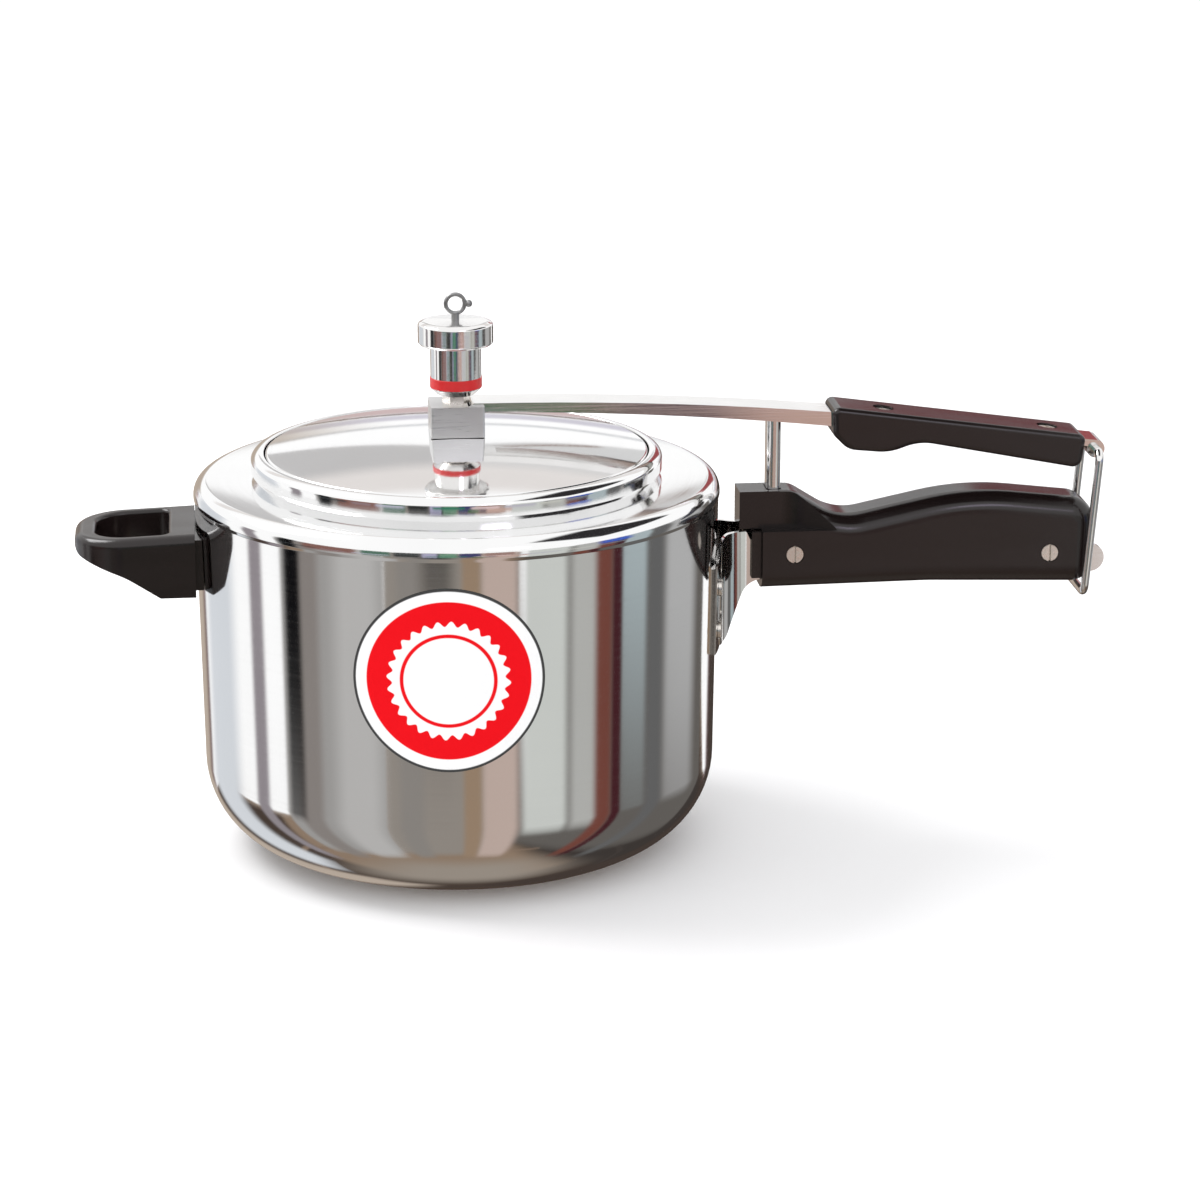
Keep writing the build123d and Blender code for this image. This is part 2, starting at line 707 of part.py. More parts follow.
lid_handle.part.label = "lid_handle"
export_step(lid_handle.part, "parts/lid_handle.step")

with BuildPart() as lid_handle_screws:
    for x in lid_screw_xs:
        with Locations(tail_plane(x)):
            with Locations((0, 0, 0.02)):
                Cylinder(lid_screw_head_r, 1.5, align=(Align.CENTER, Align.CENTER, Align.MIN))
                Cylinder(lid_screw_r, lid_screw_l, align=(Align.CENTER, Align.CENTER, Align.MAX))
            with Locations((0, 0, 1.52)):
                Box(4.4, 0.9, 1.6, mode=Mode.SUBTRACT)
                Box(0.9, 4.4, 1.6, mode=Mode.SUBTRACT)
lid_handle_screws.part.label = "lid_handle_screws"
export_step(lid_handle_screws.part, "parts/lid_handle_screws.step")

# Locking loop: one bent wire whose turned-in ends sit in the bar's eye
grip_x0 = pot_r + grip_gap
grip_x1 = grip_x0 + grip_l
grip_z0 = pot_h - grip_drop
tongue_x = grip_x1 + tongue_out
tongue_z = grip_z0 + tongue_rise
hook_x = tongue_x - hook_in
hook_z = tongue_z - hook_drop
loop_drop = Vector(hook_x - loop_x, 0, hook_z - loop_z)
loop_plane = Plane(origin=(loop_x, 0, loop_z), x_dir=(0, 1, 0),
                   z_dir=(loop_drop.Z, 0, -loop_drop.X))
with BuildPart() as locking_loop:
    with BuildLine(loop_plane) as loop_path:
        FilletPolyline(
            (1.0, 0),
            (loop_half_w, 0),
            (loop_half_w, loop_drop.length),
            (-loop_half_w, loop_drop.length),
            (-loop_half_w, 0),
            (-1.0, 0),
            radius=loop_bend_r,
        )
    with BuildSketch(Plane(origin=loop_path.line @ 0, z_dir=loop_path.line % 0)):
        Circle(loop_wire_r)
    sweep()
locking_loop.part.label = "locking_loop"
export_step(locking_loop.part, "parts/locking_loop.step")

# Bracket: one bent sheet, two wings on the wall and two cheeks inside the body handle
tang_x = grip_x0 + tang_l
neck_x0 = grip_x0 - neck_l
tang_top = pot_h - tang_drop
tang_foot = tang_top - tang_h
bracket_top = pot_h - bracket_drop
bracket_foot = bracket_top - bracket_h
front_screw = (grip_x0 + front_screw_in, tang_top - front_screw_drop)
rear_screw = (grip_x1 - rear_screw_end, grip_z0 + rear_screw_rise)
sheet_mid_r = wall_r(bracket_top) + seat_gap + sheet_t / 2
bend_y = cheek_y + bracket_bend_r
bend_x = sqrt((sheet_mid_r + bracket_bend_r) ** 2 - bend_y ** 2)
bend_angle = degrees(asin(bend_y / (sheet_mid_r + bracket_bend_r)))
with BuildPart() as handle_bracket:
    with BuildSketch(Plane.XY.offset(bracket_foot)):
        with BuildLine() as sheet_path:
            CenterArc((bend_x, bend_y), bracket_bend_r, 180 + bend_angle, 90 - bend_angle)
            FilletPolyline(
                (bend_x, cheek_y),
                (tang_x, cheek_y),
                (tang_x, -cheek_y),
                (bend_x, -cheek_y),
                radius=3.0,
            )
            CenterArc((bend_x, -bend_y), bracket_bend_r, 90, 90 - bend_angle)
        trace(sheet_path.line, line_width=sheet_t)
    extrude(amount=bracket_h)
    for start in (bend_angle - 0.4, -wing_half_angle):
        with BuildSketch(Plane(origin=(0, 0, 0), x_dir=(cos(radians(start)), sin(radians(start)), 0),
                               z_dir=(sin(radians(start)), -cos(radians(start)), 0))):
            Polygon(
                (wall_r(bracket_foot) + seat_gap, bracket_foot),
                (wall_r(bracket_foot) + seat_gap + sheet_t, bracket_foot),
                (wall_r(bracket_top) + seat_gap + sheet_t, bracket_top),
                (wall_r(bracket_top) + seat_gap, bracket_top),
                align=None,
            )
        revolve(axis=Axis.Z, revolution_arc=wing_half_angle - bend_angle + 0.4)
    with BuildSketch(Plane.XZ):
        with BuildLine():
            FilletPolyline(
                (pot_r - 17, bracket_foot),
                (pot_r + 2.4, bracket_foot),
                (neck_x0 - 1.5, tang_foot),
                (tang_x + 5, tang_foot),
                (tang_x + 5, tang_top),
                (neck_x0 - neck_clear, tang_top),
                (neck_x0 - 4 * neck_clear, bracket_top - 0.3),
                (pot_r + 1.6, bracket_top - 0.3),
                (pot_r - 5.2, bracket_top - 10),
                (pot_r - 17, bracket_top - 10),
                radius=(0, 5, 10, 0, 0, 1, 1, 4, 4, 0),
                close=True,
            )
        make_face()
    extrude(amount=60, both=True, mode=Mode.INTERSECT)
    for angle, z in main_rivets:
        with Locations(wall_plane(angle, z)):
            Cylinder(rivet_r + fixed_fit, 30, mode=Mode.SUBTRACT)
    with Locations(Plane(origin=(front_screw[0], 0, front_screw[1]), z_dir=(0, 1, 0))):
        Cylinder(screw_r + fixed_fit, 40, mode=Mode.SUBTRACT)
handle_bracket.part.label = "handle_bracket"
export_step(handle_bracket.part, "parts/handle_bracket.step")

with BuildPart() as bracket_rivets:
    for angle, z in main_rivets:
        rivet(angle, z, sheet_t)
bracket_rivets.part.label = "bracket_rivets"
export_step(bracket_rivets.part, "parts/bracket_rivets.step")

# Fulcrum post: its foot rests on the cheeks, and the lever's channel rocks on its round top
post_top_r = post_w / 2
post_z = bar_top(post_x) - bar_web_t - (post_top_r + 0.1) * sqrt(1 + tail_slope ** 2)
foot_x0 = post_x - foot_in
foot_x1 = post_x + foot_out
with BuildPart() as fulcrum_post:
    with Locations(((foot_x0 + foot_x1) / 2, 0, tang_top)):
        Box(foot_x1 - foot_x0, 2 * cheek_y + sheet_t, foot_t, align=(Align.CENTER, Align.CENTER, Align.MIN))
    with Locations((post_x, 0, tang_top)):
        Box(post_w, post_d, post_z - tang_top, align=(Align.CENTER, Align.CENTER, Align.MIN))
    with Locations(Plane(origin=(post_x, 0, post_z), z_dir=(0, 1, 0))):
        Cylinder(post_top_r, post_d)
    post_edges = fulcrum_post.edges().filter_by(Axis.Z).filter_by_position(
        Axis.Z, tang_top + foot_t, post_z)
    fillet(post_edges, post_edge_r)
fulcrum_post.part.label = "fulcrum_post"
export_step(fulcrum_post.part, "parts/fulcrum_post.step")

# Catch: steel tongue out of the body handle's end, held by the rear screw
tongue_r = 5.9
with BuildPart() as loop_catch:
    with BuildSketch(Plane.XZ) as tongue:
        with Locations((tongue_x, tongue_z)):
            Circle(tongue_r)
            Rectangle(26, 2 * tongue_r, align=(Align.MAX, Align.CENTER))
        with Locations((rear_screw[0] - 6, tongue_z - tongue_r + 2)):
            Rectangle(14, rear_screw[1] - tongue_z + tongue_r + 3, align=(Align.MIN, Align.MIN))
        with Locations(rear_screw):
            Circle(screw_r + fixed_fit, mode=Mode.SUBTRACT)
    extrude(amount=catch_t / 2, both=True)
loop_catch.part.label = "loop_catch"
export_step(loop_catch.part, "parts/loop_catch.step")

# Body handle: a rounded grip that dips and narrows into a nose under the lever
nose_x0 = pot_r + nose_gap
nose_x1 = nose_x0 + nose_l
nose_z1 = pot_h - nose_drop
nose_z0 = nose_z1 - nose_h
valley_z = nose_z1 - valley_drop
crest_z = valley_z + crest_rise
with BuildPart() as body_handle:
    with BuildSketch(Plane.XZ):
        with BuildLine():
            FilletPolyline(
                (grip_x0, grip_z0),
                (grip_x0, nose_z1),
                (nose_x1, nose_z1),
                (grip_x0 + valley_x, valley_z),
                (grip_x0 + crest_x, crest_z),
                (grip_x1, crest_z - end_fall),
                (grip_x1, grip_z0 - 1.2),
                (grip_x0 + grip_l / 2, grip_z0 + 0.9),
                radius=(0, 0, 9.0, 24.0, 120.0, 11.0, 9.0, 150.0),
                close=True,
            )
        make_face()
    extrude(amount=grip_w / 2, both=True)
    long_edges = body_handle.faces().filter_by(Axis.Y).edges().filter_by_position(
        Axis.X, grip_x0 + 1, grip_x1)
    fillet(long_edges, grip_edge_r)
    with BuildSketch(Plane.XY.offset(nose_z0)):
        with BuildLine():
            FilletPolyline(
                (nose_x0, nose_w / 2),
                (nose_x1, nose_w / 2),
                (grip_x0 + valley_x, grip_w / 2 + 0.2),
                (grip_x0 + valley_x, grip_w),
                (nose_x0, grip_w),
                radius=(0, 30.0, 0, 0, 0),
                close=True,
            )
        make_face()
        mirror(about=Plane.XZ)
    extrude(amount=2 * nose_h, mode=Mode.SUBTRACT)
    with Locations((nose_x0, 0, nose_z0)):
        Box(nose_l - 6, nose_w, nose_h, align=(Align.MIN, Align.CENTER, Align.MIN))
    with Locations((neck_x0, 0, tang_foot + 1.0)):
        Box(2 * neck_l, neck_w, nose_z0 - tang_foot - 1.6, align=(Align.MIN, Align.CENTER, Align.MIN))
    with Locations((pot_r, 0, tang_foot - 0.4)):
        Box(tang_x - pot_r + 1.4, 2 * cheek_y + sheet_t + 0.6, tang_h + 0.7,
            align=(Align.MIN, Align.CENTER, Align.MIN), mode=Mode.SUBTRACT)
    with Locations((pot_r, 0, tang_top)):
        Box(foot_x1 - pot_r + 0.3, 2 * cheek_y + sheet_t + 0.6, foot_t + 0.2,
            align=(Align.MIN, Align.CENTER, Align.MIN), mode=Mode.SUBTRACT)
    with Locations((post_x, 0, tang_top)):
        Box(post_w + 0.4, post_d + 0.4, 60, align=(Align.CENTER, Align.CENTER, Align.MIN),
            mode=Mode.SUBTRACT)
    with BuildSketch(Plane.XZ):
        with Locations((tongue_x, tongue_z)):
            Circle(tongue_r + 0.2)
            Rectangle(26.2, 2 * tongue_r + 0.4, align=(Align.MAX, Align.CENTER))
        with Locations((rear_screw[0] - 6.2, tongue_z - tongue_r + 1.8)):
            Rectangle(14.4, rear_screw[1] - tongue_z + tongue_r + 3.4, align=(Align.MIN, Align.MIN))
    extrude(amount=catch_t / 2 + 0.15, both=True, mode=Mode.SUBTRACT)
    for x, z in (front_screw, rear_screw):
        with Locations(Plane(origin=(x, -grip_w / 2, z), z_dir=(0, 1, 0))):
            Cylinder(screw_head_r + 0.3, 2.4, align=(Align.CENTER, Align.CENTER, Align.MIN),
                     mode=Mode.SUBTRACT)
            Cylinder(screw_r + fixed_fit, grip_w, align=(Align.CENTER, Align.CENTER, Align.MIN),
                     mode=Mode.SUBTRACT)
        with Locations(Plane(origin=(x, grip_w / 2, z), z_dir=(0, -1, 0))):
            Cylinder(nut_af / 2 + 0.9, nut_h + 0.4, align=(Align.CENTER, Align.CENTER, Align.MIN),
                     mode=Mode.SUBTRACT)
body_handle.part.label = "body_handle"
export_step(body_handle.part, "parts/body_handle.step")

with BuildPart() as body_handle_screws:
    for x, z in (front_screw, rear_screw):
        with Locations(Plane(origin=(x, -grip_w / 2 + 2.4, z), z_dir=(0, 1, 0))):
            Cylinder(screw_r, grip_w - 3.2, align=(Align.CENTER, Align.CENTER, Align.MIN))
            Cylinder(screw_head_r, 2.2, align=(Align.CENTER, Align.CENTER, Align.MAX))
        with Locations((x, -grip_w / 2 + 0.2, z)):
            Box(0.9, 2.2, 2 * screw_head_r, mode=Mode.SUBTRACT)
body_handle_screws.part.label = "body_handle_screws"
export_step(body_handle_screws.part, "parts/body_handle_screws.step")

with BuildPart() as body_handle_nuts:
    for x, z in (front_screw, rear_screw):
        with BuildSketch(Plane(origin=(x, grip_w / 2 - nut_h - 0.4, z), z_dir=(0, 1, 0))):
            RegularPolygon(nut_af / 2, 6, major_radius=False)
            Circle(screw_r + fixed_fit, mode=Mode.SUBTRACT)
        extrude(amount=nut_h)
body_handle_nuts.part.label = "body_handle_nuts"
export_step(body_handle_nuts.part, "parts/body_handle_nuts.step")

# Helper handle: a short loop on the far side of the pot, screwed to a plate on the wall
boss_r = 5.0
boss_l = 4.0
finger_x0 = helper_x + helper_tip_w
finger_x1 = -(pot_r + helper_finger_gap)
finger_half_w = helper_half_w - helper_rail_w
helper_end_x = -pot_r - slide_gap
helper_tip_z = pot_h - helper_tip_drop - helper_tip_h
lip_z0 = pot_h - helper_foot_drop + helper_lip_in
lip_z1 = pot_h - helper_top_drop - helper_lip_in
plate_z0 = helper_z - helper_plate_h / 2
plate_z1 = helper_z + helper_plate_h / 2
plate_start = radians(180 - helper_plate_half_angle)
plate_half_w = (pot_r + sheet_t) * sin(radians(helper_plate_half_angle))
helper_pocket_w = 2 * plate_half_w + 6 * helper_pocket_gap
with BuildPart() as helper_bracket:
    with BuildSketch(Plane(origin=(0, 0, 0), x_dir=(cos(plate_start), sin(plate_start), 0),
                           z_dir=(sin(plate_start), -cos(plate_start), 0))):
        Polygon(
            (wall_r(plate_z0) + seat_gap, plate_z0),
            (wall_r(plate_z0) + seat_gap + sheet_t, plate_z0),
            (wall_r(plate_z1) + seat_gap + sheet_t, plate_z1),
            (wall_r(plate_z1) + seat_gap, plate_z1),
            align=None,
        )
    revolve(axis=Axis.Z, revolution_arc=2 * helper_plate_half_angle)
    with Locations(Plane(origin=(-wall_r(helper_z) - sheet_t + 0.2, 0, helper_z), z_dir=(-1, 0, 0))):
        Cylinder(boss_r, boss_l, align=(Align.CENTER, Align.CENTER, Align.MIN))
        Cylinder(screw_r + fixed_fit, 20, mode=Mode.SUBTRACT)
    for angle in helper_plate_angles:
        with Locations(wall_plane(angle, helper_z)):
            Cylinder(rivet_r + fixed_fit, 30, mode=Mode.SUBTRACT)
helper_bracket.part.label = "helper_bracket"
export_step(helper_bracket.part, "parts/helper_bracket.step")

with BuildPart() as helper_rivets:
    for angle in helper_plate_angles:
        rivet(angle, helper_z, sheet_t)
helper_rivets.part.label = "helper_rivets"
export_step(helper_rivets.part, "parts/helper_rivets.step")

with BuildPart() as helper_handle:
    with BuildSketch(Plane.XY):
        with BuildLine():
            FilletPolyline(
                (helper_end_x, -helper_half_w),
                (helper_x, -helper_half_w),
                (helper_x, helper_half_w),
                (helper_end_x, helper_half_w),
                radius=(0, helper_round_r, helper_round_r, 0),
                close=True,
            )
        make_face()
    extrude(amount=pot_h)
    with BuildSketch(Plane.XZ):
        with BuildLine():
            FilletPolyline(
                (helper_end_x, pot_h - helper_top_drop),
                (helper_x, pot_h - helper_tip_drop),
                (helper_x, helper_tip_z),
                (helper_x + helper_arch_in, helper_tip_z - helper_arch_h),
                (helper_end_x - helper_foot_l, pot_h - helper_foot_drop),
                (helper_end_x, pot_h - helper_foot_drop),
                radius=(0, 0, 4.0, 40.0, 1.0, 0),
                close=True,
            )
        make_face()
    extrude(amount=2 * helper_half_w, both=True, mode=Mode.INTERSECT)
    with BuildSketch(Plane.XY):
        with BuildLine():
            FilletPolyline(
                (finger_x1, -finger_half_w),
                (finger_x0, -finger_half_w),
                (finger_x0, finger_half_w),
                (finger_x1, finger_half_w),
                radius=(
                    helper_finger_corner_r,
                    helper_round_r - helper_rail_w,
                    helper_round_r - helper_rail_w,
                    helper_finger_corner_r,
                ),
                close=True,
            )
        make_face()
    extrude(amount=pot_h, mode=Mode.SUBTRACT)
    top_face = helper_handle.faces().sort_by(Axis.Z)[-1]
    fillet(top_face.outer_wire().edges().sort_by(Axis.X)[:-1], helper_edge_r)
    top_face = helper_handle.faces().sort_by(Axis.Z)[-1]
    fillet(top_face.inner_wires()[0].edges(), helper_finger_edge_r)
    with Locations((helper_end_x - slide_gap, 0, lip_z0)):
        Box(helper_half_w / 4, 2 * (helper_half_w - helper_lip_in), lip_z1 - lip_z0,
            align=(Align.MIN, Align.CENTER, Align.MIN))
        with Locations((slide_gap - helper_end_x, 0, 0)):
            Cone(wall_r(lip_z0) + slide_gap, wall_r(lip_z1) + slide_gap, lip_z1 - lip_z0,
                 align=(Align.CENTER, Align.CENTER, Align.MIN), mode=Mode.SUBTRACT)
    with Locations((helper_end_x, 0, helper_z)):
        Box(2 * (helper_pocket_d - slide_gap), helper_pocket_w, helper_plate_h + 2 * helper_pocket_gap,
            mode=Mode.SUBTRACT)
    with Locations(Plane(origin=(-pot_r, 0, helper_z), z_dir=(-1, 0, 0))):
        Cylinder(boss_r + 0.2, sheet_t + boss_l + 0.4, align=(Align.CENTER, Align.CENTER, Align.MIN),
                 mode=Mode.SUBTRACT)
        Cylinder(screw_r + 0.1, 20, align=(Align.CENTER, Align.CENTER, Align.MIN), mode=Mode.SUBTRACT)
        with Locations((0, 0, helper_screw_in)):
            Cylinder(screw_head_r + 0.2, 6, align=(Align.CENTER, Align.CENTER, Align.MIN),
                     mode=Mode.SUBTRACT)
helper_handle.part.label = "helper_handle"
export_step(helper_handle.part, "parts/helper_handle.step")

with BuildPart() as helper_screw:
    with Locations(Plane(origin=(-pot_r - helper_screw_in - seat_gap, 0, helper_z), z_dir=(-1, 0, 0))):
        Cylinder(screw_head_r, helper_screw_head_h, align=(Align.CENTER, Align.CENTER, Align.MIN))
        Cylinder(screw_r, helper_screw_l, align=(Align.CENTER, Align.CENTER, Align.MAX))
        with Locations((0, 0, helper_screw_head_h)):
            Box(0.9, 2 * screw_head_r, 1.6, mode=Mode.SUBTRACT)
helper_screw.part.label = "helper_screw"
export_step(helper_screw.part, "parts/helper_screw.step")
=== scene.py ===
import json
from math import asin, atan2, ceil, cos, pi, radians, sin, tan

import bpy
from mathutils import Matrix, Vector


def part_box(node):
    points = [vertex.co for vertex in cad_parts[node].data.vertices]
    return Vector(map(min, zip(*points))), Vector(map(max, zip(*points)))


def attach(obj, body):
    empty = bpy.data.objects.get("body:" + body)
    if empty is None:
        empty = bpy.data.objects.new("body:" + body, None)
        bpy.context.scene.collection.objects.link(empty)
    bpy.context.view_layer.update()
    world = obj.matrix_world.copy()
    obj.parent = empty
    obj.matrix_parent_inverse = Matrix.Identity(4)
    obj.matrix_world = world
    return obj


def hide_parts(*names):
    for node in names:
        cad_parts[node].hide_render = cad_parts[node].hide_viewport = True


# Looks of a polished pressure cooker, in the CAD frame. Metres, +Z up, +X towards the long handles.

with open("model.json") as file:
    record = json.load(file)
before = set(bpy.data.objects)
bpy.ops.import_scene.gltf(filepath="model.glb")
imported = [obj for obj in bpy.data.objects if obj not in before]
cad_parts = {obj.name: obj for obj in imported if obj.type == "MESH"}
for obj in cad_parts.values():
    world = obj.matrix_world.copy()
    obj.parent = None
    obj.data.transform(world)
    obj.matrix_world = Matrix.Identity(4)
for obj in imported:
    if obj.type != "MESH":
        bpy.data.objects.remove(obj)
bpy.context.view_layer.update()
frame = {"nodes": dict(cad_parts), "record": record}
nodes = frame["nodes"]
scene = bpy.context.scene


# Materials


def shader(name, colour, metallic, roughness):
    """New material with the constants set on the Principled shader."""
    mat = bpy.data.materials.new(name)
    mat.use_nodes = True
    bsdf = mat.node_tree.nodes["Principled BSDF"]
    bsdf.inputs["Base Color"].default_value = (*colour, 1.0)
    bsdf.inputs["Metallic"].default_value = metallic
    bsdf.inputs["Roughness"].default_value = roughness
    return mat, bsdf


def add(mat, kind, **settings):
    """New node with its settings."""
    node = mat.node_tree.nodes.new(kind)
    for key, value in settings.items():
        setattr(node, key, value)
    return node


def wire(mat, out, into):
    """Link from a node's output to a socket."""
    mat.node_tree.links.new(out, into)


def calc(mat, operation, first, second=0.0):
    """Result of an operation on two values; each is a number or a node's output."""
    node = add(mat, "ShaderNodeMath", operation=operation)
    for socket, value in zip(node.inputs, (first, second)):
        if isinstance(value, (int, float)):
            socket.default_value = value
        else:
            wire(mat, value, socket)
    return node.outputs["Value"]


def even(value):
    """The same number three times, for a grey or for all axes."""
    return (value, value, value)


def stretched(mat, scale):
    """Object coordinates, stretched by a factor per axis."""
    coords = add(mat, "ShaderNodeTexCoord")
    mapping = add(mat, "ShaderNodeMapping")
    mapping.inputs["Scale"].default_value = scale
    wire(mat, coords.outputs["Object"], mapping.inputs["Vector"])
    return mapping.outputs["Vector"]


def turned(mat, around, along):
    """Coordinates for marks that run round the Z axis: fast along height and radius, slow around."""
    coords = add(mat, "ShaderNodeTexCoord")
    parts = add(mat, "ShaderNodeSeparateXYZ")
    wire(mat, coords.outputs["Object"], parts.inputs["Vector"])
    flat = add(mat, "ShaderNodeCombineXYZ")
    wire(mat, parts.outputs["X"], flat.inputs["X"])
    wire(mat, parts.outputs["Y"], flat.inputs["Y"])
    radius = add(mat, "ShaderNodeVectorMath", operation="LENGTH")
    wire(mat, flat.outputs["Vector"], radius.inputs[0])
    reach = calc(mat, "ADD", radius.outputs["Value"], parts.outputs["Z"])
    joined = add(mat, "ShaderNodeCombineXYZ")
    wire(mat, parts.outputs["X"], joined.inputs["X"])
    wire(mat, parts.outputs["Y"], joined.inputs["Y"])
    wire(mat, reach, joined.inputs["Z"])
    mapping = add(mat, "ShaderNodeMapping")
    mapping.inputs["Scale"].default_value = (around, around, along)
    wire(mat, joined.outputs["Vector"], mapping.inputs["Vector"])
    return mapping.outputs["Vector"]


def noise(mat, vector, detail):
    """Fine noise over coordinates that carry the scale."""
    node = add(mat, "ShaderNodeTexNoise")
    node.inputs["Scale"].default_value = 1.0
    node.inputs["Detail"].default_value = detail
    node.inputs["Roughness"].default_value = 0.55
    wire(mat, vector, node.inputs["Vector"])
    return node.outputs["Fac"]


def span(mat, value, low, high, from_low=0.3, from_high=0.7, smooth=False):
    """Value mapped to a range."""
    node = add(mat, "ShaderNodeMapRange", interpolation_type="SMOOTHSTEP" if smooth else "LINEAR")
    node.inputs["From Min"].default_value = from_low
    node.inputs["From Max"].default_value = from_high
    node.inputs["To Min"].default_value = low
    node.inputs["To Max"].default_value = high
    wire(mat, value, node.inputs["Value"])
    return node.outputs["Result"]


def bump(mat, bsdf, height, strength, distance):
    """Surface relief from a height, on the shader's normal."""
    node = add(mat, "ShaderNodeBump")
    node.inputs["Strength"].default_value = strength
    node.inputs["Distance"].default_value = distance
    wire(mat, height, node.inputs["Height"])
    wire(mat, node.outputs["Normal"], bsdf.inputs["Normal"])


def mixed(mat, value, first, second):
    """Colour between two colours; each is a colour or a node's output."""
    node = add(mat, "ShaderNodeMix", data_type="RGBA")
    for socket, colour in ((node.inputs["A"], first), (node.inputs["B"], second)):
        if isinstance(colour, tuple):
            socket.default_value = (*colour, 1.0)
        else:
            wire(mat, colour, socket)
    wire(mat, value, node.inputs["Factor"])
    return node.outputs["Result"]


def tint(mat, bsdf, value, dark, light):
    """Base colour that varies between a dark and a light tone."""
    wire(mat, mixed(mat, value, dark, light), bsdf.inputs["Base Color"])


def spun_metal(name, dark, light, rough, stretch, line_bump, along=1400.0):
    """Metal polished on a lathe: fine rings, with reflections drawn out across them."""
    mat, bsdf = shader(name, light, 1.0, rough)
    rings = noise(mat, turned(mat, 6.0, along), 4.0)
    clouds = noise(mat, stretched(mat, (26.0, 26.0, 14.0)), 2.0)
    wire(mat, span(mat, rings, rough * 0.75, rough * 1.3), bsdf.inputs["Roughness"])
    tint(mat, bsdf, clouds, dark, light)
    bsdf.inputs["Anisotropic"].default_value = stretch
    bsdf.inputs["Anisotropic Rotation"].default_value = 0.25
    tangent = add(mat, "ShaderNodeTangent", direction_type="RADIAL", axis="Z")
    wire(mat, tangent.outputs["Tangent"], bsdf.inputs["Tangent"])
    bump(mat, bsdf, rings, line_bump, 0.0004)
    return mat


def drawn_metal(name, dark, light, rough, scale, line_bump):
    """Rolled or drawn metal with fine lines one way."""
    mat, bsdf = shader(name, light, 1.0, rough)
    lines = noise(mat, stretched(mat, scale), 4.0)
    clouds = noise(mat, stretched(mat, even(60.0)), 3.0)
    wire(mat, span(mat, lines, rough * 0.7, rough * 1.4), bsdf.inputs["Roughness"])
    tint(mat, bsdf, clouds, dark, light)
    bump(mat, bsdf, lines, line_bump, 0.0003)
    return mat


def phenolic(name):
    """Black moulded phenolic: a polished skin with faint flow marks."""
    mat, bsdf = shader(name, (0.010, 0.007, 0.007), 0.0, 0.2)
    flow = noise(mat, stretched(mat, (14.0, 60.0, 60.0)), 4.0)
    skin = noise(mat, stretched(mat, even(900.0)), 2.0)
    tint(mat, bsdf, flow, (0.006, 0.0042, 0.0042), (0.015, 0.009, 0.0085))
    wire(mat, span(mat, flow, 0.15, 0.26), bsdf.inputs["Roughness"])
    bsdf.inputs["Specular IOR Level"].default_value = 0.5
    bump(mat, bsdf, skin, 0.08, 0.0002)
    return mat


def rubber(name, dark, light, rough, grain):
    """Moulded rubber or silicone with a fine grain."""
    mat, bsdf = shader(name, light, 0.0, rough)
    fine = noise(mat, stretched(mat, even(grain)), 3.0)
    broad = noise(mat, stretched(mat, even(180.0)), 2.0)
    tint(mat, bsdf, broad, dark, light)
    wire(mat, span(mat, broad, rough * 0.85, rough * 1.15), bsdf.inputs["Roughness"])
    bump(mat, bsdf, fine, 0.15, 0.0002)
    return mat


# Rings of the label, as shares of its radius
LABEL_CIRCLE = (0.47, 0.51)
LABEL_SCALLOPS = (0.62, 0.86)
LABEL_WAVE_OUT = 0.74           # the waves shape only the inner edge of the scalloped ring
LABEL_LINE = (0.972, 2.0)
LABEL_WAVES, LABEL_WAVE_DEPTH = 28.0, 0.028
LABEL_BLUR = 0.006              # half the width over which an edge changes colour


def label_film(name, turn, middle_z, radius):
    """Round printed label: a white disc with a dark edge line and a scalloped red ring."""
    mat, bsdf = shader(name, even(0.86), 0.0, 0.42)
    bsdf.inputs["Specular IOR Level"].default_value = 0.05
    coords = add(mat, "ShaderNodeTexCoord")
    across = add(mat, "ShaderNodeVectorMath", operation="DOT_PRODUCT")
    across.inputs[1].default_value = (cos(turn) / radius, sin(turn) / radius, 0.0)
    wire(mat, coords.outputs["Object"], across.inputs[0])
    parts = add(mat, "ShaderNodeSeparateXYZ")
    wire(mat, coords.outputs["Object"], parts.inputs["Vector"])
    right = across.outputs["Value"]
    up = calc(mat, "DIVIDE", calc(mat, "SUBTRACT", parts.outputs["Z"], middle_z), radius)
    right_squared = calc(mat, "POWER", calc(mat, "ABSOLUTE", right), 2.0)
    up_squared = calc(mat, "POWER", calc(mat, "ABSOLUTE", up), 2.0)
    reach = calc(mat, "SQRT", calc(mat, "ADD", right_squared, up_squared))
    around = calc(mat, "ARCTAN2", up, right)
    swing = calc(mat, "SINE", calc(mat, "MULTIPLY", around, LABEL_WAVES))
    wave = calc(mat, "MULTIPLY", swing, LABEL_WAVE_DEPTH)

    def ring(inner, outer, distance):
        """One inside a ring, none outside it."""
        rise = span(mat, distance, 0.0, 1.0, inner - LABEL_BLUR, inner + LABEL_BLUR, smooth=True)
        fall = span(mat, distance, 1.0, 0.0, outer - LABEL_BLUR, outer + LABEL_BLUR, smooth=True)
        return calc(mat, "MULTIPLY", rise, fall)

    grain = noise(mat, stretched(mat, even(1500.0)), 2.0)
    paper = mixed(mat, grain, even(0.84), even(0.88))
    red = mixed(mat, grain, (0.76, 0.003, 0.008), (0.80, 0.005, 0.011))
    inner_wave = calc(mat, "MULTIPLY", wave, ring(0.0, LABEL_WAVE_OUT, reach))
    scallops = ring(*LABEL_SCALLOPS, calc(mat, "ADD", reach, inner_wave))
    inked = mixed(mat, scallops, paper, red)
    inked = mixed(mat, ring(*LABEL_CIRCLE, reach), inked, red)
    inked = mixed(mat, ring(*LABEL_LINE, reach), inked, even(0.05))
    wire(mat, inked, bsdf.inputs["Base Color"])
    bump(mat, bsdf, grain, 0.03, 0.0002)
    return mat


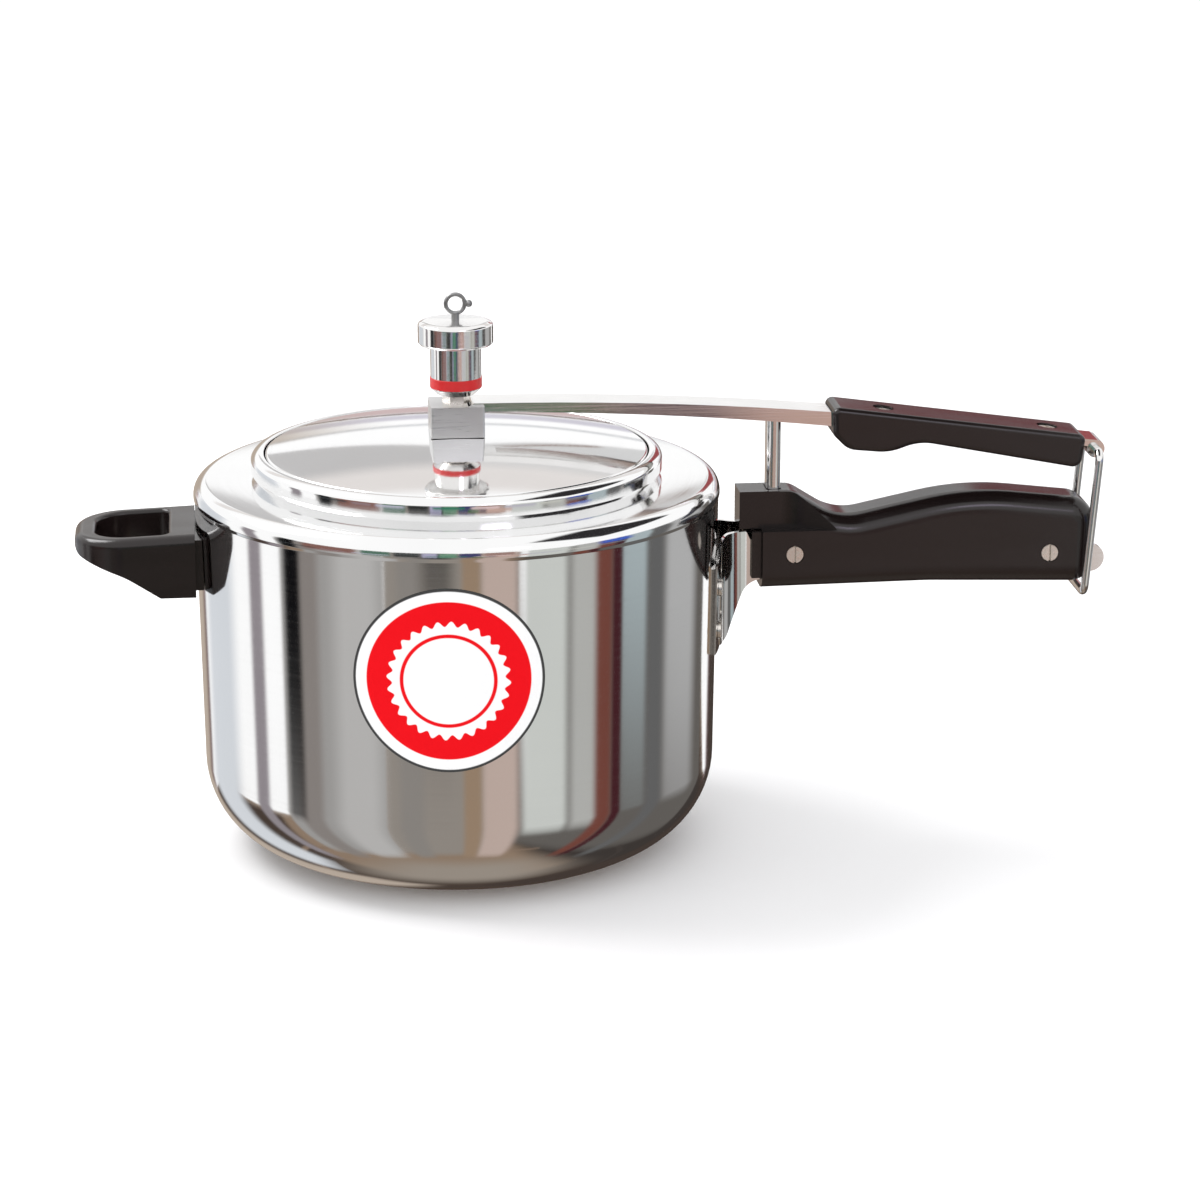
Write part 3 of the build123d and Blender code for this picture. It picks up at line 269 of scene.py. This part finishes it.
LABEL_TURN = radians(-5.9)      # the label's turn round the pot's axis
label_low, label_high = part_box("front_label")
LABEL_Z = (label_low[2] + label_high[2]) / 2
LABEL_R = (label_high[2] - label_low[2]) / 2

POT = spun_metal("pot_polish", even(0.84), even(0.91), 0.08, 0.65, 0.003)
LID = spun_metal("lid_polish", even(0.85), even(0.91), 0.06, 0.30, 0.006)
WEIGHT = spun_metal("weight_polish", (0.78, 0.77, 0.76), (0.88, 0.87, 0.86), 0.08, 0.60, 0.04, 5200.0)
TUBE = spun_metal("vent_turned", (0.60, 0.61, 0.62), (0.76, 0.77, 0.78), 0.16, 0.5, 0.10, 6000.0)
BRIGHT = drawn_metal(
    "bright_steel", (0.74, 0.73, 0.72), (0.86, 0.85, 0.84), 0.09, (14.0, 1500.0, 1500.0), 0.03)
EYE = drawn_metal("eye_satin", even(0.26), even(0.36), 0.38, even(900.0), 0.05)
BLOCK = drawn_metal("block_satin", even(0.62), even(0.74), 0.34, (60.0, 60.0, 2600.0), 0.06)
FASTENER = drawn_metal("fastener_zinc", (0.84, 0.79, 0.73), (0.95, 0.91, 0.86), 0.3, even(700.0), 0.08)
BRASS = drawn_metal("needle_brass", (0.62, 0.45, 0.20), (0.78, 0.60, 0.32), 0.24, even(700.0), 0.10)
ALLOY = drawn_metal("plug_alloy", (0.38, 0.38, 0.40), (0.52, 0.52, 0.54), 0.4, even(900.0), 0.3)
BLACK = phenolic("black_phenolic")
RED = rubber("red_silicone", (0.50, 0.006, 0.008), (0.68, 0.014, 0.016), 0.34, 2400.0)
SEAL = rubber("seal_rubber", (0.012, 0.012, 0.013), (0.03, 0.03, 0.032), 0.55, 1600.0)
LABEL = label_film("label_film", LABEL_TURN, LABEL_Z, LABEL_R)

LOOKS = {
    "pot_metal": POT, "lid_metal": LID, "label_film": LABEL, "seal_rubber": SEAL, "bright_steel": BRIGHT,
    "fastener_steel": FASTENER, "black_handle": BLACK, "vent_metal": TUBE, "plug_alloy": ALLOY,
    "weight_metal": WEIGHT, "needle_brass": BRASS, "band_red": RED,
}
OWN_LOOKS = {"pivot_block": BLOCK, "lifting_eye": EYE}
for sub in frame["record"]["subparts"]:
    mesh = nodes[sub["node"]].data
    mesh.materials.clear()
    mesh.materials.append(OWN_LOOKS.get(sub["node"], LOOKS[sub["material_slot"]]))


# Pot and lid as fine turned meshes, so that their rolled edges reflect cleanly

ARC_STEP = radians(5)
LATHE_TURNS = 288
SHARP_ANGLE = radians(35)
MM_PER_M = 1000


def rounded(points, radii):
    """Line through corner points, with an arc at each inner corner that has a radius."""
    ends = [Vector(p) for p in points]
    line = [ends[0]]
    for before, corner, after, radius in zip(ends, ends[1:], ends[2:], radii):
        way = (corner - before).normalized()
        next_way = (after - corner).normalized()
        turn = atan2(way.x * next_way.y - way.y * next_way.x, way.dot(next_way))
        count = ceil(abs(turn) / ARC_STEP) if radius else 0
        if not count:
            line.append(corner)
            continue
        start = corner - way * radius * tan(abs(turn) / 2)
        side = Vector((-way.y, way.x)) * (1 if turn > 0 else -1)
        middle = start + side * radius
        for i in range(count + 1):
            angle = turn * i / count
            arm = -side * radius
            line.append(middle + Vector((arm.x * cos(angle) - arm.y * sin(angle),
                                         arm.x * sin(angle) + arm.y * cos(angle))))
    line.append(ends[-1])
    return line


def other_side(points, radii, thickness):
    """Corner points and radii of a sheet's far side, on the left of a line."""
    ends = [Vector(p) for p in points]
    ways = [(q - p).normalized() for p, q in zip(ends, ends[1:])]
    lefts = [Vector((-w.y, w.x)) * thickness for w in ways]
    far = [ends[0] + lefts[0]]
    far_radii = []
    for corner, way, next_way, left, radius in zip(ends[1:], ways, ways[1:], lefts, radii):
        turn = atan2(way.x * next_way.y - way.y * next_way.x, way.dot(next_way))
        far.append(corner + left - way * thickness * tan(turn / 2))
        far_radii.append(max(radius - thickness if turn > 0 else radius + thickness, 0))
    far.append(ends[-1] + lefts[-1])
    return far, far_radii


def lathe(name, line, node, body, mat):
    """Closed turned mesh from a line in millimetres that starts and ends on the Z axis."""
    verts = [(0.0, 0.0, line[0].y / MM_PER_M)]
    rings = []
    for point in line[1:-1]:
        rings.append(len(verts))
        for i in range(LATHE_TURNS):
            angle = 2 * pi * i / LATHE_TURNS
            x, y = point.x * cos(angle), point.x * sin(angle)
            verts.append((x / MM_PER_M, y / MM_PER_M, point.y / MM_PER_M))
    verts.append((0.0, 0.0, line[-1].y / MM_PER_M))
    faces = []
    for i in range(LATHE_TURNS):
        j = (i + 1) % LATHE_TURNS
        faces.append((0, rings[0] + j, rings[0] + i))
        for low, high in zip(rings, rings[1:]):
            faces.append((low + i, low + j, high + j, high + i))
        faces.append((rings[-1] + i, rings[-1] + j, len(verts) - 1))
    mesh = bpy.data.meshes.new(name)
    mesh.from_pydata(verts, [], faces)
    mesh.shade_smooth()
    mesh.set_sharp_from_angle(angle=SHARP_ANGLE)
    mesh.materials.append(mat)
    ob = bpy.data.objects.new(name, mesh)
    scene.collection.objects.link(ob)
    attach(ob, body)
    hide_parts(node)


# The pot's lengths, in millimetres
POT_R, POT_H, POT_WALL, POT_TAPER = 107.6, 154.0, 3.2, 2.2
BASE_CORNER_R, ROLL_R, SHOULDER_PROUD = 37.0, 6.0, 0.5
FACE_H, STEP_H, STEP_ROUND_R = 0.8, 1.4, 1.0
RIM_R, RIM_W, RIM_Z, RIM_ROUND_R = 84.3, 5.3, 164.7, 4.6
UNDERCUT, UNDERCUT_H, UNDERCUT_ROUND_R = 1.5, 2.6, 1.5
RIM_FALL, RIM_STEPS = 3.0, 16   # height of the rim's rounded top, and the steps over it
MOUTH_ROUND_R = 0.3
ANNULUS_RISE = 0.8              # from the shoulder to the rim
ANNULUS_Z = POT_H + ANNULUS_RISE
MOUTH_R = RIM_R - RIM_W
STEP_Z = POT_H - ROLL_R - FACE_H
pot_path = (
    (0, 0),
    (POT_R - POT_TAPER, 0),
    (POT_R, STEP_Z - STEP_H),
    (POT_R + SHOULDER_PROUD, STEP_Z),
    (POT_R + SHOULDER_PROUD, POT_H),
    (RIM_R, ANNULUS_Z),
    (MOUTH_R, ANNULUS_Z),
)
pot_radii = (BASE_CORNER_R, STEP_ROUND_R, STEP_ROUND_R, ROLL_R, 0)
pot_in, pot_in_radii = other_side(pot_path, pot_radii, POT_WALL)
rim_angles = [pi / 2 * i / RIM_STEPS for i in range(RIM_STEPS + 1)]
rim_turn = [
    (RIM_R - RIM_ROUND_R * (1 - cos(angle)), RIM_Z - RIM_FALL * (1 - sin(angle)))
    for angle in rim_angles
]
rim_path = (
    (RIM_R - UNDERCUT, ANNULUS_Z),
    (RIM_R, ANNULUS_Z + UNDERCUT_H),
    *rim_turn,
    (MOUTH_R, RIM_Z),
)
rim_radii = (0, UNDERCUT_ROUND_R) + (0,) * len(rim_turn) + (MOUTH_ROUND_R,)
outside = rounded(pot_path[:-1] + rim_path + (tuple(pot_in[-1]),), pot_radii + rim_radii)
inside = rounded(pot_in, pot_in_radii)
lathe("pot_shell", outside + inside[-2::-1], "pot_body", "pot", POT)

# The lid's lengths, in millimetres; the sealing ring lies in its gutter
LID_T, LID_RISE, LID_TOP_Z, LID_ROUND_R, LID_GAP = 3.0, 7.0, 171.5, 1.2, 0.5
LID_EDGE_R = MOUTH_R - LID_GAP
DOME_R = (LID_EDGE_R ** 2 + LID_RISE ** 2) / (2 * LID_RISE)
DOME_Z = LID_TOP_Z - DOME_R
DOME_CUT = 0.88 * LID_EDGE_R    # where the dome gives way to the edge
DOME_STEPS = 24
dome_half = asin(DOME_CUT / DOME_R)
SEAL_GAP, SEAL_W, SEAL_H = 0.6, 6.4, 5.4
SEAL_SIDE_GAP, SEAL_TOP_GAP, SEAL_SEAT_GAP = 0.4, 0.1, 0.05
GUTTER_WALL_H, GUTTER_OUT_R, GUTTER_IN_R = 3.4, 1.2, 0.4
seal_r = LID_EDGE_R + SEAL_GAP + SEAL_W
GUTTER_R = seal_r + SEAL_SIDE_GAP
shoulder_r = POT_R + SHOULDER_PROUD
annulus_over_seal = POT_H + ANNULUS_RISE * (shoulder_r - seal_r) / (shoulder_r - RIM_R)
seal_z = annulus_over_seal - POT_WALL - SEAL_TOP_GAP
GUTTER_Z = seal_z - SEAL_H - SEAL_SEAT_GAP
cut_z = DOME_Z + DOME_R * cos(dome_half)
lid_path = (
    (GUTTER_R, GUTTER_Z + GUTTER_WALL_H),
    (GUTTER_R, GUTTER_Z),
    (LID_EDGE_R, GUTTER_Z),
    (LID_EDGE_R, cut_z - (LID_EDGE_R - DOME_CUT) * tan(dome_half)),
    (DOME_CUT, cut_z),
)
lid_radii = (GUTTER_OUT_R, GUTTER_IN_R, LID_ROUND_R)
lid_in, lid_in_radii = other_side(lid_path, lid_radii, LID_T)


def dome(radius):
    """Line over the dome from the axis to where the edge starts."""
    angles = [dome_half * i / DOME_STEPS for i in range(DOME_STEPS)]
    return [Vector((radius * sin(angle), DOME_Z + radius * cos(angle))) for angle in angles]


lid_line = dome(DOME_R) + rounded(lid_path, lid_radii)[::-1]
lid_line += rounded(lid_in, lid_in_radii) + dome(DOME_R - LID_T)[::-1]
lathe("lid_shell", lid_line[::-1], "lid", "lid", LID)

# Camera, as fitted to the photograph
SENSOR_MM = 36.0
FOCAL_PIXELS, IMAGE_WIDTH = 3799.0, 1200.0
CAMERA_PITCH, CAMERA_YAW = 16.08, 5.92      # degrees down from level and to the right

camera_data = bpy.data.cameras.new("camera")
camera_data.sensor_fit = "HORIZONTAL"
camera_data.sensor_width = SENSOR_MM
camera_data.lens = FOCAL_PIXELS * SENSOR_MM / IMAGE_WIDTH
camera = bpy.data.objects.new("camera", camera_data)
scene.collection.objects.link(camera)
camera.location = (-0.0978, -1.5137, 0.5375)
camera.rotation_euler = (radians(90 - CAMERA_PITCH), 0, -radians(CAMERA_YAW))
scene.camera = camera

# Stage: a pale floor, and studio cards that show only in reflections


def stage_sheet(name, corners, mat):
    """Flat sheet of the stage with one face."""
    mesh = bpy.data.meshes.new(name)
    mesh.from_pydata(corners, [], [(0, 1, 2, 3)])
    mesh.uv_layers.new(name="flat")
    for loop, place in zip(mesh.uv_layers["flat"].data, ((0, 0), (1, 0), (1, 1), (0, 1))):
        loop.uv = place
    mesh.materials.append(mat)
    ob = bpy.data.objects.new(name, mesh)
    scene.collection.objects.link(ob)
    return ob


FLOOR_HALF = 6.0
FLOOR, _ = shader("floor_white", (0.96, 0.96, 0.97), 0.0, 0.6)
floor_corners = [
    (-FLOOR_HALF, -FLOOR_HALF, 0.0), (FLOOR_HALF, -FLOOR_HALF, 0.0),
    (FLOOR_HALF, FLOOR_HALF, 0.0), (-FLOOR_HALF, FLOOR_HALF, 0.0),
]
floor = stage_sheet("floor", floor_corners, FLOOR)
floor.visible_glossy = False


def card_paint(name, colour, soft, soft_low, soft_high):
    """Glowing card whose edges fade out, each by a share of its width or height."""
    mat = bpy.data.materials.new(name)
    mat.use_nodes = True
    mat.node_tree.nodes.clear()
    out = add(mat, "ShaderNodeOutputMaterial")
    glow = add(mat, "ShaderNodeEmission")
    glow.inputs["Color"].default_value = (*colour, 1.0)
    clear = add(mat, "ShaderNodeBsdfTransparent")
    blend = add(mat, "ShaderNodeMixShader")
    uv = add(mat, "ShaderNodeTexCoord")
    parts = add(mat, "ShaderNodeSeparateXYZ")
    wire(mat, uv.outputs["UV"], parts.inputs["Vector"])
    from_middle = calc(mat, "ABSOLUTE", calc(mat, "SUBTRACT", parts.outputs["X"], 0.5))
    cover = span(mat, calc(mat, "SUBTRACT", 0.5, from_middle), 0.0, 1.0, 0.0, soft, smooth=True)
    rise = span(mat, parts.outputs["Y"], 0.0, 1.0, 0.0, soft_low, smooth=True)
    fall = span(mat, parts.outputs["Y"], 1.0, 0.0, 1.0 - soft_high, 1.0, smooth=True)
    wire(mat, calc(mat, "MULTIPLY", cover, calc(mat, "MULTIPLY", rise, fall)), blend.inputs["Fac"])
    wire(mat, clear.outputs["BSDF"], blend.inputs[1])
    wire(mat, glow.outputs["Emission"], blend.inputs[2])
    wire(mat, blend.outputs["Shader"], out.inputs["Surface"])
    return mat


def only_reflected(ob):
    """Hide a card from all but reflections."""
    ob.visible_camera = False
    ob.visible_diffuse = False
    ob.visible_shadow = False
    ob.visible_transmission = False
    ob.visible_volume_scatter = False


FRONT = radians(-93.7)          # from the pot towards the camera
TOP_Z = 0.165                   # height of the rim, from which a band's rise is counted
CARD_LOW, CARD_HIGH = -4.0, 0.55            # heights that a card spans unless others are given
CARD_FADE_LOW, CARD_FADE_HIGH = 0.3, 0.02   # shares of its height over which it fades


def panel(name, middle, start, end, low, high, colour, fades, far):
    """Upright card between two angles round the pot; its heights are given at both of its sides."""
    turn = middle + radians(start + end) / 2
    half = far * tan(radians(end - start) / 2)
    out = Vector((cos(turn), sin(turn), 0.0))
    side = Vector((-out.y, out.x, 0.0)) * half
    corners = []
    for way, z in ((-1, low[0]), (1, low[1]), (1, high[1]), (-1, high[0])):
        corners.append(out * far + side * way + Vector((0.0, 0.0, z)))
    only_reflected(stage_sheet(name, corners, card_paint(name, colour, *fades)))


def card(name, start, end, colour, soft=0.3, far=2.0, low=CARD_LOW, high=CARD_HIGH):
    """Tall card, placed in degrees from the camera's side; the right hand side is positive."""
    fades = (soft, CARD_FADE_LOW, CARD_FADE_HIGH)
    panel(name, FRONT, start, end, (low, low), (high, high), colour, fades, far)


def band(name, start, end, low, high, colour, soft=0.1, soft_up=0.2, far=2.5, middle=FRONT):
    """Card between two angles and two rises, in degrees, seen from the rim."""
    rises = []
    for rise in (low, high):
        ends = rise if isinstance(rise, tuple) else (rise, rise)
        rises.append(tuple(TOP_Z + far * tan(radians(end_rise)) for end_rise in ends))
    panel(name, middle, start, end, *rises, colour, (soft, soft_up, soft_up), far)


def back_band(name, start, end, low, high, *rest):
    """Band behind the pot; the right hand side is positive."""
    low, high = (rise[::-1] if isinstance(rise, tuple) else rise for rise in (low, high))
    band(name, -end, -start, low, high, *rest, middle=FRONT + pi)


def level_sheet(name, low, high, z, colour, soft):
    """Level card over a part of the stage."""
    corners = [(low[0], low[1], z), (high[0], low[1], z), (high[0], high[1], z), (low[0], high[1], z)]
    only_reflected(stage_sheet(name, corners, card_paint(name, colour, soft, soft, soft)))


# Tall cards that the wall reflects, from the left round to the right
card("left_light", -150, -110, (0.72, 0.75, 0.79), 0.3)
card("left_mauve", -104, -92, (0.30, 0.27, 0.29), 0.3)
card("left_black", -82, -70, (0.004, 0.004, 0.005), 0.3, 1.9, -1.0)
card("left_base", -84, -31, (0.36, 0.35, 0.34), 0.05, 2.3)
card("left_dim", -78, -60, (0.26, 0.235, 0.22), 0.3)
card("left_pale", -60, -29, (0.50, 0.49, 0.48), 0.35)
card("front_base", -33, 16, (0.30, 0.27, 0.24), 0.05, 2.3)
card("front_brown", -29, -13, (0.27, 0.25, 0.23), 0.35)
card("front_dark", -20, 2, (0.045, 0.042, 0.040), 0.4, 1.9, -0.75)
card("front_umber", 0, 11, (0.33, 0.235, 0.16), 0.3)
card("front_warm", 7, 28, (0.54, 0.425, 0.375), 0.25, 2.05)
card("right_base", 22, 140, (0.13, 0.12, 0.11), 0.05, 2.3)
card("right_light", 25, 50, (0.62, 0.64, 0.61), 0.2, 2.2, -1.5)
card("right_line", 25, 30, (1.0, 1.0, 1.0), 0.35, 1.95, -0.8)
card("right_pale", 46, 68, (0.47, 0.47, 0.45), 0.3, 2.1, -1.4)
card("right_red", 59, 72, (0.18, 0.06, 0.045), 0.35, 1.9)
card("right_maroon", 69, 76, (0.06, 0.015, 0.02), 0.3, 1.85)
card("right_teal", 72, 92, (0.42, 0.49, 0.51), 0.25, 2.0, -0.85)
card("right_grey", 87, 104, (0.13, 0.13, 0.13), 0.4, 1.9)
card("right_far", 96, 132, (0.46, 0.46, 0.46), 0.3, 2.0, -0.95)
card("right_edge", 147, 178, (0.060, 0.045, 0.038), 0.25, 2.0, CARD_LOW, 0.1)
card("left_far", -178, -148, (0.50, 0.42, 0.35), 0.3)

# Coloured strips at the height that the rim and the shoulder reflect
RIM_LOW, RIM_HIGH, RIM_FAR = -14.6, 10, 1.8
RIM_CARDS = (
    ("rust", -69, -41, (0.25, 0.125, 0.105)), ("green", -41, -27, (0.10, 0.19, 0.14)),
    ("slate", -27, -15, (0.07, 0.075, 0.075)), ("lilac", -15, -8, (0.44, 0.42, 0.58)),
    ("leaf", -8, 0, (0.17, 0.32, 0.22)), ("navy", 0, 10, (0.06, 0.06, 0.16)),
    ("brick", 10, 24, (0.36, 0.23, 0.20)),
)
for colour_name, start, end, colour in RIM_CARDS:
    band("rim_" + colour_name, start, end, RIM_LOW, RIM_HIGH, colour, 0.12, 0.04, RIM_FAR)
band("rim_blue", 58, 80, -8, 12, (0.06, 0.13, 0.55), 0.3, 0.2, RIM_FAR)

# Cards at the height that the lever bar reflects
BAR_LOW, BAR_HIGH = -13.9, -11.6
band("bar_green", 5, 12, BAR_LOW, BAR_HIGH, (0.03, 0.13, 0.05), 0.15, 0.03, 1.74)
band("bar_plum", 11, 16, BAR_LOW, BAR_HIGH, (0.05, 0.03, 0.045), 0.3, 0.03, 1.72)
band("bar_warm", 15, 30, BAR_LOW, BAR_HIGH, (0.58, 0.38, 0.31), 0.1, 0.03, 1.74)

# Cards at the height that the weight reflects
WEIGHT_LOW, WEIGHT_HIGH, WEIGHT_FAR = -11.7, -9.1, 1.78
WEIGHT_CARDS = (
    ("dark", -82, -60, (0.05, 0.055, 0.06)), ("mauve", -60, -46, (0.30, 0.22, 0.24)),
    ("lilac", -46, -27, (0.55, 0.55, 0.66)), ("black", -27, -15, (0.02, 0.02, 0.02)),
    ("green", -15, 6, (0.03, 0.20, 0.12)), ("pink", 6, 24, (0.80, 0.62, 0.62)),
    ("grey", 24, 44, (0.50, 0.48, 0.56)), ("beige", 44, 60, (0.60, 0.60, 0.55)),
    ("slate", 60, 76, (0.22, 0.26, 0.32)),
)
for colour_name, start, end, colour in WEIGHT_CARDS:
    band("weight_" + colour_name, start, end, WEIGHT_LOW, WEIGHT_HIGH, colour, 0.15, 0.05, WEIGHT_FAR)

# Strip light for the long handles
band("handle_strip", 13, 33, 27, 38, (4.6, 4.2, 5.2), 0.2, 0.3, 2.2)

# Ring of low cards that the pot's base corner reflects, dark on the right
LOW_RING, LOW_HALF = 12, 15.5
for i in range(LOW_RING):
    turn = 360 / LOW_RING * i
    shade = (0.06, 0.05, 0.045) if 60 <= turn <= 200 else (0.26, 0.185, 0.135)
    card("low_ring_%d" % i, turn - LOW_HALF, turn + LOW_HALF, shade, 0.001, 2.8, -9.0, -3.3)

# Bands behind the pot, which the lid and the handles' tops reflect
BACK_HALF = 34
back_band("back_low", -BACK_HALF, BACK_HALF, -30, -4.5, (0.16, 0.10, 0.10))
back_band("back_pink", -BACK_HALF, BACK_HALF, -6, 1.2, (0.64, 0.50, 0.50))
back_band("back_line", -BACK_HALF, BACK_HALF, 0.6, 2.2, (0.15, 0.10, 0.09), 0.1, 0.3, 2.4)
back_band("back_lilac", -BACK_HALF, BACK_HALF, 2.0, 6.4, (0.66, 0.64, 0.72), 0.1, 0.3)
back_band("back_haze", -BACK_HALF, BACK_HALF, 8.4, 10.2, (0.66, 0.67, 0.69), 0.1, 0.4)
back_band("back_grey", -11, -0.2, (12.6, 19.5), 28, (0.58, 0.57, 0.57), 0.02, 0.06)
back_band("back_pale", -0.3, 11, (19.5, 12.6), 28, (0.70, 0.70, 0.70), 0.02, 0.06)
back_band("back_thread", 0.6, 8, (20.6, 15.0), (21.4, 16.0), (0.28, 0.19, 0.16), 0.1, 0.3, 2.4)
back_band("back_beige", -BACK_HALF, BACK_HALF, 24, 36, (0.84, 0.80, 0.78), 0.1, 0.35, 2.45)
back_band("back_rose", 12, 23, 5, 21, (0.34, 0.08, 0.085), 0.15, 0.1, 2.0)

# Level cards below the floor, which the pot's base reflects, each a little over the last
UNDER_Z, UNDER_HALF, UNDER_PALE_HALF = -3.6, 8.0, 2.2
UNDER_CORNER = (UNDER_HALF, UNDER_HALF)
level_sheet("under_card", (-UNDER_HALF, -UNDER_HALF), UNDER_CORNER, UNDER_Z, (0.29, 0.21, 0.15), 0.01)
level_sheet("under_back", (-UNDER_HALF, 0.2), UNDER_CORNER, UNDER_Z + 0.02, (0.07, 0.05, 0.04), 0.08)
level_sheet("under_right", (1.0, -UNDER_HALF), UNDER_CORNER, UNDER_Z + 0.03, (0.05, 0.042, 0.038), 0.15)
level_sheet("under_pale", (-UNDER_PALE_HALF, -UNDER_PALE_HALF), (UNDER_PALE_HALF, UNDER_PALE_HALF),
            UNDER_Z + 0.05, (0.34, 0.295, 0.25), 0.4)

# Dark flag over the long handles
level_sheet("handle_flag", (0.11, -0.22), (0.38, 0.18), 0.42, (0.03, 0.028, 0.03), 0.1)

world = bpy.data.worlds.new("studio")
world.use_nodes = True
background = world.node_tree.nodes["Background"]
background.inputs["Color"].default_value = (1.0, 1.0, 1.0, 1.0)
background.inputs["Strength"].default_value = 1.1
scene.world = world
scene.view_settings.view_transform = "Standard"

# Soft lamp behind on the left, for the shadow
KEY_PLACE, KEY_TARGET = Vector((-0.9, 0.5, 1.3)), Vector((0.0, 0.0, 0.1))
key_data = bpy.data.lights.new("key", "AREA")
key_data.shape = "SQUARE"
key_data.size = 0.8
key_data.energy = 16.0
key = bpy.data.objects.new("key", key_data)
scene.collection.objects.link(key)
key.location = KEY_PLACE
key.rotation_euler = (KEY_TARGET - KEY_PLACE).to_track_quat("-Z", "Y").to_euler()
